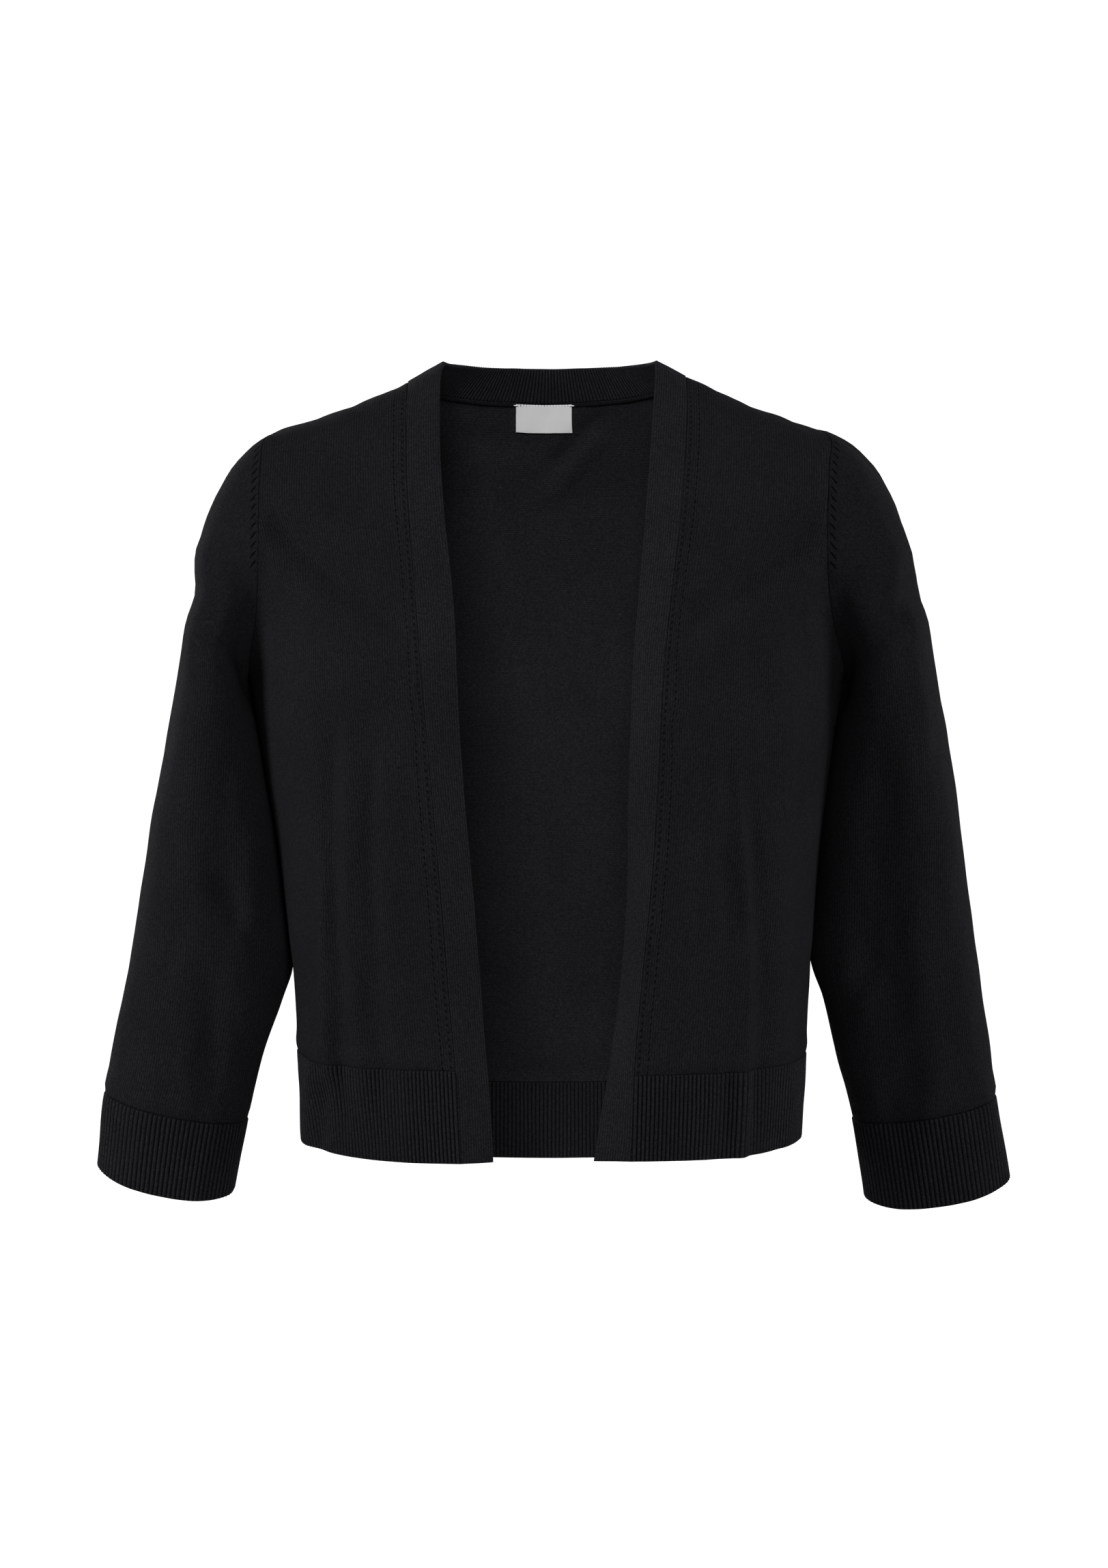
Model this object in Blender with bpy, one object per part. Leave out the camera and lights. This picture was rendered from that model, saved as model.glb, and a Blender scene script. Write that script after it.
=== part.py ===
"""Cropped open-front cardigan with three-quarter sleeves, filled out with nobody in it.

Every cloth piece is a closed wall that follows one shared garment surface.
The origin is midway between the two neck points, where the shoulders are held.
+X is the viewer's right, -Y is the front of the garment and +Z is up.
The tables are in millimetres, measured from the origin.
"""

import math

import bmesh
import bpy
import numpy as np

OBJECT_NAME = "cardigan"
MM = 0.001

# Cloth thicknesses and gaps
PANEL_WALL = 1.5
RIB_WALL = 1.6
BAND_WALL = 2.2
LABEL_WALL = 1.0
RIB_RISE = 0.8
SEAM_GAP = 0.3
LABEL_CLEARANCE = 0.5
BAND_BOW = 0.12

# Longest mitre where a wall turns sharply, and the sharpest turn that it is worked out for
MITRE_LIMIT = 1.6
MITRE_COSINE = 0.2

# Grid counts
FRONT_COLUMNS = 12
NECK_COLUMNS = 14
BAND_COLUMNS = 2
ARMHOLE_STEPS = 14
CAP_RINGS = 7
ARC_SAMPLES = 60
RING_SAMPLES = 400

# Points closer than a hundredth of a millimetre count as one
POINTS_PER_MM = 100.0

# Fullness of the row curves at the seams, at the band seam, at the neck lines and mid back
SEAM_REACH = 0.40
FRONT_EDGE_REACH = 0.50
NECK_REACH = 0.42
MIDDLE_REACH = 0.46

# Share of the neckline's drop that is left for the last stretch before the centre back
MIDDLE_DROP = 0.6

# Share of a row's rise that is spent while it turns round the side
SIDE_RISE = 0.15

# Rows that are evened out round the underarm level
EASE_FIRST_ROW = 7.0
EASE_ROWS_FROM_TOP = 7
EASE_PASSES = 4

# Ribs in one column of the grid
FRONT_RIBS = 5
BACK_SIDE_RIBS = 4
BACK_MIDDLE_RIBS = 5
NECK_RIBS = 7
CUFF_RIBS = 3

# Neck points where the band seams reach the shoulder seams
NECK_X = {"left": 93.7, "right": 90.2}
SIDES = {"left": -1.0, "right": 1.0}

# Rows of the body tables run from the hem to the shoulder
RIB_ROW = 2
UNDERARM_ROW = 9
SHOULDER_ROW = 19

# Side seam up to the underarm, then the front armhole seam
FRONT_SEAM = (
    "left_x right_x y left_z right_z turn",
    (
        (161.2, 165.6, -4, -509.5, -508.5, 90),
        (163.4, 167.4, -4, -482, -483, 90),
        (165.2, 168.4, -5, -453, -455, 90),
        (167.0, 169.6, -5, -427, -427, 90),
        (168.3, 171.3, -6, -399, -399, 90),
        (173.0, 174.0, -6, -357, -357, 90),
        (178.3, 177.2, -6, -318, -318, 90),
        (184.2, 181.0, -6, -279, -279, 90),
        (191.0, 186.2, -5, -245, -245, 90),
        (197.5, 192.5, -2, -213, -212, 88),
        (197.5, 193.0, -15, -206, -204, 70),
        (195.0, 189.0, -28, -192, -190, 54),
        (191.0, 184.0, -39, -173, -172, 42),
        (188.8, 180.5, -46, -150, -149, 34),
        (188.4, 180.0, -48, -124, -124, 26),
        (188.6, 180.6, -44, -97, -97, 16),
        (188.4, 182.0, -35, -73, -72, 9),
        (187.0, 184.0, -23, -56, -56, 4),
        (181.5, 180.5, -9, -48.5, -49, 1),
        (176.0, 176.5, 4, -45.5, -45.5, 0),
    ),
)

# Seam between each front panel and its band
FRONT_EDGE = (
    "left_x right_x y left_z right_z turn dip",
    (
        (56.7, 52.3, -97, -520.8, -519.2, 6, -5),
        (58.2, 53.1, -98, -491, -490, 6, -4),
        (59.6, 53.8, -99, -461.5, -464.5, 6, -4),
        (62.0, 55.8, -101, -434, -436, 6, -2),
        (64.6, 58.6, -103, -405, -406, 6, 0),
        (67.7, 62.6, -105, -365, -365, 6, 0),
        (70.7, 65.9, -107, -328, -328, 6, 0),
        (73.8, 68.3, -108, -292, -292, 7, 0),
        (76.4, 69.8, -109, -262, -262, 8, 0),
        (78.9, 71.0, -108, -235, -235, 9, 0),
        (80.4, 71.8, -106, -220, -220, 10, 0),
        (82.0, 73.2, -103, -202, -202, 10, 0),
        (84.0, 75.6, -96, -177, -177, 10, 0),
        (86.6, 79.4, -87, -147, -147, 9, 0),
        (90.0, 84.0, -73, -112, -111, 8, 0),
        (92.4, 87.4, -56, -76, -75, 6, 0),
        (93.2, 89.2, -40, -46.5, -45, 4, -0.6),
        (93.5, 89.8, -26, -28, -25.5, 2, -1.2),
        (93.6, 90.1, -13, -18.5, -15, 1, -1.8),
        (93.7, 90.2, 0, -14.8, -11, 0, -2.0),
    ),
)

# Free edge of each band: where it lies across, how far it turns in and how far it rises
BAND_EDGE = (
    "left_x right_x left_back right_back left_rise right_rise",
    (
        (35.6, 28, 8, 1.5, 0.5, 0.5),
        (37, 32.6, 8.5, 11, 0.5, 0.5),
        (39.1, 37.2, 9.5, 15.5, 0, 0),
        (41.5, 41.3, 9.5, 18, 0, 0),
        (43.6, 44.6, 9.5, 18.5, 0, 0),
        (46.7, 47.8, 9.5, 18, 0, 0),
        (49.9, 49.3, 9.5, 16.5, 0, 0),
        (53.2, 49.9, 9.5, 15, 0, 0),
        (55.8, 50.6, 9, 14, 0, 0),
        (57.3, 51.4, 7.5, 13.5, 0, 0),
        (58, 52.2, 6.5, 13.5, 0, 0),
        (58.6, 53.2, 5, 13, 0, 0),
        (59.8, 55.2, 3.5, 11.5, 0, 0),
        (62.6, 57.8, 3.5, 9, 0.5, 0.5),
        (67, 61, 4.5, 6, 2, 1.5),
        (70.2, 64.4, 5, 5, 4.5, 3.5),
        (71.3, 67, 4.5, 4.5, 7.5, 6),
        (71.5, 68.8, 4, 4, 10.5, 8.5),
        (70.6, 69.6, 3.5, 3.5, 12.8, 10.2),
        (69.6, 70, 3, 3, 14, 11),
    ),
)

# Back armhole seam from the underarm to the shoulder
BACK_SEAM = (
    "left_x right_x y left_z right_z turn",
    (
        (197.5, 192.5, -2, -213, -212, 88),
        (197.5, 193.0, 14, -206, -204, 72),
        (195.0, 190.0, 31, -192, -190, 58),
        (191.5, 186.0, 43, -173, -172, 46),
        (189.0, 183.5, 50, -150, -149, 38),
        (188.4, 183.0, 53, -124, -124, 30),
        (188.4, 183.0, 50, -98, -98, 20),
        (188.0, 183.5, 42, -75, -74, 12),
        (186.0, 183.5, 30, -58, -58, 6),
        (181.5, 180.5, 17, -49, -49, 2),
        (176.0, 176.5, 4, -45.5, -45.5, 0),
    ),
)

# Back panel below its neck points and along its centre
BACK_LINE = (
    "neck_y left_z right_z neck_turn mid_turn mid_y mid_z",
    (
        (73, -531, -531, 16, 16, 85, -534),
        (77, -506, -506, 16, 16, 89, -508),
        (80, -480, -480, 16, 16, 92, -483),
        (80, -449, -449, 16, 16, 92, -451),
        (79, -417, -417, 16, 16, 91, -419),
        (78, -374, -374, 16, 16, 90, -375),
        (78, -332, -332, 16, 16, 90, -333),
        (80, -293, -293, 16, 16, 91, -294),
        (83, -257, -257, 15, 15, 94, -258),
        (87, -222, -222, 14, 14, 97, -222),
        (90, -207, -207, 13, 13, 99, -207),
        (92, -190, -190, 12, 12, 100, -190),
        (92, -169, -169, 12, 12, 100, -169),
        (89, -143, -143, 11, 12, 98, -143),
        (82, -113, -113, 9, 13, 93, -114),
        (70, -82, -81, 6, 17, 86, -86),
        (54, -56, -54, 3, 26, 79, -64),
        (37, -35.5, -32.5, 1, 40, 73, -46),
        (18, -20.5, -17.5, 0, 60, 68, -33),
        (0, -14.8, -11, 0, 78, 64, -22.5),
    ),
)

# Free edge of the neck rib at the centre back
NECK_RIB_TOP = {"mid_y": 58.0, "mid_z": 0.4, "turn": 76.0}

# Sleeve sections below the armhole, from the underarm to the cuff edge
SLEEVE_SECTIONS = {
    "left": (
        "z x y half_x half_y square slope lean dip",
        (
            (-236, 220.4, 4, 27.5, 58, 2.5, 0.16, 0, 0),
            (-262, 220.4, 6, 32.8, 56, 2.5, 0.17, 0, 0),
            (-300, 220.8, 9, 40, 52, 2.5, 0.18, 0, 0),
            (-360, 221.4, 10, 48.9, 44, 2.5, 0.20, 0, 0),
            (-389, 222.4, 10, 52.5, 40, 2.4, 0.20, 0, 0.5),
            (-414, 228.2, 9, 51, 37, 2.4, 0.20, 0.5, 1),
            (-450, 237.8, 8, 48.5, 34, 2.4, 0.20, 1.5, 2),
            (-491, 246.7, 8, 46.9, 32, 2.4, 0.20, 3, 3.5),
            (-538.6, 253.9, 9, 44.9, 30, 2.4, 0.195, 5, 6),
        ),
    ),
    "right": (
        "z x y half_x half_y square slope lean dip",
        (
            (-236, 222.9, 4, 34.9, 58, 2.5, 0.14, 0, 0),
            (-262, 223.1, 6, 39.4, 56, 2.5, 0.15, 0, 0),
            (-300, 224.2, 9, 44.9, 52, 2.5, 0.15, 0, 0),
            (-360, 225.7, 10, 51.4, 44, 2.5, 0.16, 0, 0),
            (-386, 226.8, 10, 53.9, 40, 2.4, 0.16, 0, 0.5),
            (-414, 232.9, 9, 51.8, 37, 2.4, 0.16, 0.5, 1),
            (-450, 239.5, 8, 50.2, 34, 2.4, 0.16, 1.5, 2),
            (-492, 247.6, 8, 47.5, 32, 2.4, 0.16, 3, 3.5),
            (-545, 256.3, 9, 47.4, 30, 2.4, 0.145, 5, 6),
        ),
    ),
}
SLEEVE_RIB_ROW = 7

# Way that the sleeve leaves the armhole: share of the loop from underarm to shoulder
CAP_LEAVING = (
    "share left_out right_out back left_down right_down",
    (
        (0.00, 0.06, 0.02, 0.04, 1.00, 1.00),
        (0.07, 0.55, 0.52, 0.00, 0.80, 0.80),
        (0.15, 0.86, 0.86, -0.10, 0.48, 0.48),
        (0.35, 0.94, 0.94, 0.10, 0.32, 0.32),
        (0.60, 0.88, 0.90, 0.16, 0.45, 0.42),
        (0.80, 0.86, 0.91, 0.14, 0.48, 0.38),
        (0.92, 0.89, 0.94, 0.06, 0.44, 0.32),
        (1.00, 0.96, 0.99, 0.00, 0.28, 0.14),
    ),
)
CAP_REACH = 0.31

# Soft folds of the fronts and the back: centre line in the front view, half width and height
FRONT_FOLDS = (
    "side top_x top_z low_x low_z width height",
    (
        ("left", 142, -335, 142, -462, 12, 3.5),
        ("left", 122, -275, 124, -400, 12, 2.5),
        ("left", 106, -285, 110, -372, 10, 1.8),
        ("left", 148, -445, 154, -505, 8, 1.8),
        ("right", 118, -392, 120, -530, 10, 4.0),
        ("right", 142, -330, 146, -430, 13, 2.2),
        ("right", 100, -262, 100, -350, 12, 1.8),
    ),
)
BACK_FOLDS = (
    "side top_x top_z low_x low_z width height",
    (
        ("left", 118, -300, 128, -440, 14, 2.6),
        ("right", 112, -330, 118, -520, 13, 3.0),
        ("left", 40, -250, 30, -380, 16, 1.6),
    ),
)

# Length over which a fold dies away past its ends
FOLD_FADE = 32.0

# Label on the inside of the back
LABEL_LEFT = -23.0
LABEL_RIGHT = 15.2
LABEL_TOP_ROW = 18.93
LABEL_LOW_ROW = 17.32
LABEL_COLUMNS = 4
LABEL_ROWS = 3

# Rows of the tables that the wall grids use
LOWER_PATH = (0.0, 2.0, 3.0, 4.0, 5.0, 6.0, 7.0, 8.0, 9.0)
SLEEVE_PATH = (0.0, 0.5, 1.0, 1.5, 2.0, 2.5, 3.0, 4.0, 5.0, 6.0, 7.0, 8.0)

KNIT_BLACK = (0.0125, 0.0125, 0.0145, 1.0)
RIB_BLACK = (0.0115, 0.0115, 0.0135, 1.0)
BAND_BLACK = (0.0145, 0.0145, 0.0165, 1.0)
LABEL_WHITE = (0.78, 0.78, 0.79, 1.0)
CLOTH_ROUGHNESS = 0.9
SATIN_ROUGHNESS = 0.45


def columns(table):
    """Turn a table with a line of column names into arrays by name."""
    names = table[0].split()
    rows = list(zip(*table[1]))
    return {name: np.array(values) for name, values in zip(names, rows)}


def between_rows(values, row):
    """Read a smooth value from a table column between its rows."""
    last = len(values) - 1
    low = min(int(math.floor(row)), last - 1)
    part = row - low
    before = values[max(low - 1, 0)]
    start = values[low]
    end = values[low + 1]
    after = values[min(low + 2, last)]
    tangent_start = 0.5 * (end - before)
    tangent_end = 0.5 * (after - start)
    cube = part * part * part
    square = part * part
    return (
        (2 * cube - 3 * square + 1) * start
        + (cube - 2 * square + part) * tangent_start
        + (3 * square - 2 * cube) * end
        + (cube - square) * tangent_end
    )


def read_row(table, row):
    """Read every numeric column of a table at one row."""
    return {name: between_rows(values, row) for name, values in table.items()}


def unit(vector):
    """Give a vector the length one."""
    length = np.linalg.norm(vector, axis=-1, keepdims=True)
    return vector / np.maximum(length, 1e-12)


def curve(start, start_handle, end_handle, end, count):
    """Points on a cubic curve, evenly spaced along its length."""
    share = np.linspace(0.0, 1.0, ARC_SAMPLES)[:, None]
    rest = 1.0 - share
    line = (
        rest**3 * start
        + 3 * rest**2 * share * start_handle
        + 3 * rest * share**2 * end_handle
        + share**3 * end
    )
    steps = np.linalg.norm(np.diff(line, axis=0), axis=1)
    along = np.concatenate([[0.0], np.cumsum(steps)])
    wanted = np.linspace(0.0, along[-1], count + 1)
    points = np.stack([np.interp(wanted, along, line[:, k]) for k in range(3)], axis=1)
    points[0] = start
    points[-1] = end
    return points


def turned_handle(point, inward, facing, angle, reach):
    """Handle of a curve that leaves a point at an angle to the front view."""
    turn = math.radians(angle)
    return point + np.array([inward * math.cos(turn), facing * math.sin(turn), 0.0]) * reach


SEAM = columns(FRONT_SEAM)
EDGE = columns(FRONT_EDGE)
BAND = columns(BAND_EDGE)
REAR_SEAM = columns(BACK_SEAM)
REAR = columns(BACK_LINE)
SLEEVES = {side: columns(table) for side, table in SLEEVE_SECTIONS.items()}
LEAVING = columns(CAP_LEAVING)


def seam_point(side, row, rear):
    """Point on the side seam or on one armhole seam."""
    if rear and row > UNDERARM_ROW:
        values = read_row(REAR_SEAM, row - UNDERARM_ROW)
    else:
        values = read_row(SEAM, row)
    sign = SIDES[side]
    return np.array([sign * values[side + "_x"], values["y"], values[side + "_z"]]), values["turn"]


def edge_point(side, row):
    """Point on the seam between a front and its band."""
    values = read_row(EDGE, row)
    return np.array([SIDES[side] * values[side + "_x"], values["y"], values[side + "_z"]])


def side_span(side, start, end, turns, edge_reach, facing, dip):
    """Part of a row from a side or armhole seam towards the middle."""
    sign = SIDES[side]
    across = abs(start[0] - end[0])
    chord = math.hypot(across, start[1] - end[1])
    first = turned_handle(start, -sign, facing, turns[0], SEAM_REACH * chord)
    second = turned_handle(end, sign, -facing, turns[1], edge_reach * across)
    rise = end[2] - start[2]
    share = max(abs(first[0] - start[0]) / across, SIDE_RISE * math.sin(math.radians(turns[0])))
    first[2] = start[2] + rise * share
    second[2] = end[2] - rise * edge_reach
    points = curve(start, first, second, end, FRONT_COLUMNS)
    points[:, 2] += dip * np.sin(np.linspace(0.0, math.pi, FRONT_COLUMNS + 1))
    return points


def front_row(side, row):
    """One row of a front panel, from its side or armhole seam to its band seam."""
    start, start_turn = seam_point(side, row, False)
    values = read_row(EDGE, row)
    end = edge_point(side, row)
    turns = (start_turn, values["turn"])
    return side_span(side, start, end, turns, FRONT_EDGE_REACH, -1.0, values["dip"])


def back_side_row(side, row):
    """Back row from the side or armhole seam to the line under the neck point."""
    if row >= SHOULDER_ROW:
        return front_row(side, row)
    start, start_turn = seam_point(side, row, True)
    values = read_row(REAR, row)
    end = np.array([SIDES[side] * NECK_X[side], values["neck_y"], values[side + "_z"]])
    turns = (start_turn, values["neck_turn"])
    dip = read_row(EDGE, row)["dip"] if row > UNDERARM_ROW else 0.0
    return side_span(side, start, end, turns, NECK_REACH, 1.0, dip)


def back_middle_row(row):
    """Back row between the lines under the two neck points."""
    values = read_row(REAR, row)
    middle = np.array([0.0, values["mid_y"], values["mid_z"]])
    halves = []
    for side, sign in SIDES.items():
        start = np.array([sign * NECK_X[side], values["neck_y"], values[side + "_z"]])
        reach = MIDDLE_REACH * NECK_X[side]
        first = turned_handle(start, -sign, 1.0, values["mid_turn"], reach)
        first[2] = start[2] + MIDDLE_DROP * (middle[2] - start[2])
        second = turned_handle(middle, sign, 0.0, 0.0, reach)
        halves.append(curve(start, first, second, middle, NECK_COLUMNS // 2))
    return np.concatenate([halves[0], halves[1][::-1][1:]])


def neck_free_row():
    """Free top edge of the neck rib, from one band end to the other."""
    middle = np.array([0.0, NECK_RIB_TOP["mid_y"], NECK_RIB_TOP["mid_z"]])
    halves = []
    for side, sign in SIDES.items():
        start = band_free_point(side, SHOULDER_ROW)
        reach = MIDDLE_REACH * abs(start[0])
        first = turned_handle(start, -sign, 1.0, NECK_RIB_TOP["turn"], reach)
        second = turned_handle(middle, sign, 0.0, 0.0, reach)
        halves.append(curve(start, first, second, middle, NECK_COLUMNS // 2))
    return np.concatenate([halves[0], halves[1][::-1][1:]])


def band_free_point(side, row):
    """Point on the free edge of a front band."""
    values = read_row(BAND, row)
    seam = edge_point(side, row)
    return np.array(
        [
            SIDES[side] * values[side + "_x"],
            seam[1] + values[side + "_back"],
            seam[2] + values[side + "_rise"],
        ]
    )


def fold_height(table, side, points):
    """Height of the soft folds at points of one half of the body."""
    height = np.zeros(points.shape[:-1])
    for name, top_x, top_z, low_x, low_z, width, peak in table[1]:
        if name != side:
            continue
        share = (top_z - points[..., 2]) / (top_z - low_z)
        line = top_x + (low_x - top_x) * np.clip(share, 0.0, 1.0)
        above = np.clip((points[..., 2] - top_z) / FOLD_FADE, 0.0, 1.0)
        below = np.clip((low_z - points[..., 2]) / FOLD_FADE, 0.0, 1.0)
        fade = np.cos(0.5 * math.pi * np.maximum(above, below)) ** 2
        away = (np.abs(points[..., 0]) - line) / width
        height += peak * fade * np.exp(-away * away)
    return height


def body_rows():
    """Rows of the tables that the body grids use, hem to shoulder."""
    upper = np.linspace(UNDERARM_ROW, SHOULDER_ROW, ARMHOLE_STEPS + 1)
    return list(LOWER_PATH) + [float(row) for row in upper[1:]]


def eased(grid):
    """Even out a body grid round the underarm level, away from its seams."""
    rows = body_rows()
    first = rows.index(EASE_FIRST_ROW)
    last = len(rows) - EASE_ROWS_FROM_TOP
    for _ in range(EASE_PASSES):
        middle = grid[first:last, 1:-1]
        around = 0.5 * (grid[first - 1 : last - 1, 1:-1] + grid[first + 1 : last + 1, 1:-1])
        grid[first:last, 1:-1] = 0.5 * (middle + around)
    return grid


def front_grid(side):
    """Surface of one front with its hem rib rows below."""
    grid = eased(np.array([front_row(side, row) for row in body_rows()]))
    height = fold_height(FRONT_FOLDS, side, grid)
    height[:, 0] = 0.0
    height[:, -1] = 0.0
    return grid + grid_normals(grid, -SIDES[side]) * height[..., None]


def back_grid():
    """Surface of the back with its hem rib rows below, from left to right."""
    rows = []
    for row in body_rows():
        left = back_side_row("left", row)
        middle = back_middle_row(row)
        right = back_side_row("right", row)[::-1]
        middle[0] = left[-1]
        middle[-1] = right[0]
        rows.append(np.concatenate([left, middle[1:], right[1:]]))
    grid = eased(np.array(rows))
    left_half = grid[..., 0] < 0
    height = np.where(
        left_half,
        fold_height(BACK_FOLDS, "left", grid),
        fold_height(BACK_FOLDS, "right", grid),
    )
    height[:, 0] = 0.0
    height[:, -1] = 0.0
    return grid + grid_normals(grid, -1.0) * height[..., None]


def across_band(seam, free):
    """Points across a band from its seam to its free edge, slightly bowed."""
    shares = np.linspace(0.0, 1.0, BAND_COLUMNS + 1)[:, None]
    line = seam + (free - seam) * shares
    line[:, 1] -= BAND_BOW * (free[1] - seam[1]) * np.sin(math.pi * shares[:, 0])
    return line


def band_grid(side):
    """Surface of a front band from the hem to the shoulder."""
    rows = body_rows()
    return np.array([across_band(edge_point(side, row), band_free_point(side, row)) for row in rows])


def neck_grid(neckline):
    """Surface of the neck rib from the neckline up to its free edge."""
    places = zip(neckline, neck_free_row())
    return np.array([across_band(low, high) for low, high in places]).transpose(1, 0, 2)


def armhole_loop(side):
    """Armhole seam from the underarm up the front and down the back."""
    rows = np.linspace(UNDERARM_ROW, SHOULDER_ROW, ARMHOLE_STEPS + 1)
    front = [seam_point(side, row, False)[0] for row in rows]
    rear = [seam_point(side, row, True)[0] for row in rows]
    return np.array(front + rear[::-1][1:-1])


def section_ring(side, row, count):
    """One ring of a sleeve, from its inner side over the front to the outer side and round."""
    values = read_row(SLEEVES[side], row)
    sign = SIDES[side]
    angle = np.linspace(0.0, math.pi, RING_SAMPLES)
    power = 2.0 / values["square"]
    away = -values["half_x"] * np.sign(np.cos(angle)) * np.abs(np.cos(angle)) ** power
    depth = values["half_y"] * np.abs(np.sin(angle)) ** power
    steps = np.hypot(np.diff(away), np.diff(depth))
    along = np.concatenate([[0.0], np.cumsum(steps)])
    wanted = np.linspace(0.0, along[-1], count // 2 + 1)
    away = np.interp(wanted, along, away)
    depth = np.interp(wanted, along, depth)
    away = np.concatenate([away, away[::-1][1:-1]])
    depth = np.concatenate([-depth, depth[::-1][1:-1]])
    forward = -depth / values["half_y"]
    drop = values["lean"] * forward + values["dip"] * (forward**2)
    return np.stack(
        [
            sign * (values["x"] + away),
            values["y"] + depth,
            values["z"] + values["slope"] * away - drop,
        ],
        axis=1,
    )


def sleeve_grid(side):
    """Surface of a sleeve with its cuff: rings from the armhole down."""
    loop = armhole_loop(side)
    count = len(loop)
    first = section_ring(side, 0.0, count)
    second = section_ring(side, 0.5, count)
    share = np.abs(((np.arange(count) / count) * 2.0 + 1.0) % 2.0 - 1.0)
    front = np.arange(count) <= count // 2
    facing = np.where(front, 1.0, -1.0)
    out = np.interp(share, LEAVING["share"], LEAVING[side + "_out"])
    back = np.interp(share, LEAVING["share"], LEAVING["back"])
    down = np.interp(share, LEAVING["share"], LEAVING[side + "_down"])
    leave = unit(np.stack([SIDES[side] * out, facing * back, -down], axis=1))
    reach = CAP_REACH * np.linalg.norm(first - loop, axis=1)[:, None]
    start_handle = loop + leave * reach
    end_handle = first + unit(first - second) * reach
    rings = []
    for step in range(CAP_RINGS):
        part = step / CAP_RINGS
        rest = 1.0 - part
        rings.append(
            rest**3 * loop
            + 3 * rest**2 * part * start_handle
            + 3 * rest * part**2 * end_handle
            + part**3 * first
        )
    rings.extend(section_ring(side, row, count) for row in SLEEVE_PATH)
    return np.array(rings)


def grid_normals(grid, sign):
    """Normals of a grid by its own rows and columns."""
    along = np.gradient(grid, axis=0)
    across = np.gradient(grid, axis=1)
    return unit(np.cross(across, along)) * sign


def point_key(point):
    """Name of a place, so that pieces that share it can find each other."""
    return tuple(int(round(value * POINTS_PER_MM)) for value in point)


class Surface:
    """All the pieces' surfaces together, for the normals that seams share."""

    def __init__(self):
        self.faces = {}

    def add(self, grid, sign, wrap):
        """Add one grid of points."""
        rows, cols = grid.shape[:2]
        reach = cols if wrap else cols - 1
        for i in range(rows - 1):
            for j in range(reach):
                k = (j + 1) % cols
                corners = (grid[i, j], grid[i, k], grid[i + 1, k], grid[i + 1, j])
                normal = np.cross(corners[2] - corners[0], corners[3] - corners[1]) * sign
                for corner in corners:
                    self.faces.setdefault(point_key(corner), []).append(normal)

    def normal(self, point):
        """Shared normal at a point and the length that keeps the wall's thickness."""
        normals = np.array(self.faces[point_key(point)])
        mean = unit(normals.sum(axis=0))
        spread = float((unit(normals) @ mean).min())
        return mean, min(MITRE_LIMIT, 1.0 / max(spread, MITRE_COSINE))

    def normals(self, grid):
        """Shared normals and lengths for a whole grid."""
        rows, cols = grid.shape[:2]
        normal = np.zeros(grid.shape)
        stretch = np.ones((rows, cols))
        for i in range(rows):
            for j in range(cols):
                normal[i, j], stretch[i, j] = self.normal(grid[i, j])
        return normal, stretch


def inset(grid, normal, seams, wrap):
    """Move the seam edges of a piece back by half the seam gap."""
    half = 0.5 * SEAM_GAP
    shift = np.zeros(grid.shape)
    if not wrap:
        for name, edge, near in (("start", 0, 1), ("end", -1, -2)):
            if name in seams:
                along = np.gradient(grid[:, edge], axis=0)
                step = unit(np.cross(along, normal[:, edge]))
                inward = grid[:, near] - grid[:, edge]
                facing = np.sign((step * inward).sum(axis=1))[:, None]
                shift[:, edge] += step * facing * half
    for name, edge, near in (("low", 0, 1), ("top", -1, -2)):
        if name in seams:
            line = grid[edge]
            if wrap:
                along = np.roll(line, -1, axis=0) - np.roll(line, 1, axis=0)
            else:
                along = np.gradient(line, axis=0)
            step = unit(np.cross(along, normal[edge]))
            inward = grid[near] - grid[edge]
            facing = np.sign((step * inward).sum(axis=1))[:, None]
            shift[edge] += step * facing * half
    return grid + shift


def finer_columns(values, ribs, wrap):
    """Put two points for every rib between neighbouring columns."""
    cols = values.shape[1]
    reach = cols if wrap else cols - 1
    counts = ribs if isinstance(ribs, (list, tuple)) else [ribs] * reach
    parts = []
    for j in range(reach):
        k = (j + 1) % cols
        steps = 2 * counts[j]
        shares = (np.arange(steps) / steps)[None, :, None]
        parts.append(values[:, j : j + 1] * (1 - shares) + values[:, k : k + 1] * shares)
    if not wrap:
        parts.append(values[:, -1:])
    return np.concatenate(parts, axis=1), [2 * number for number in counts]


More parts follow.
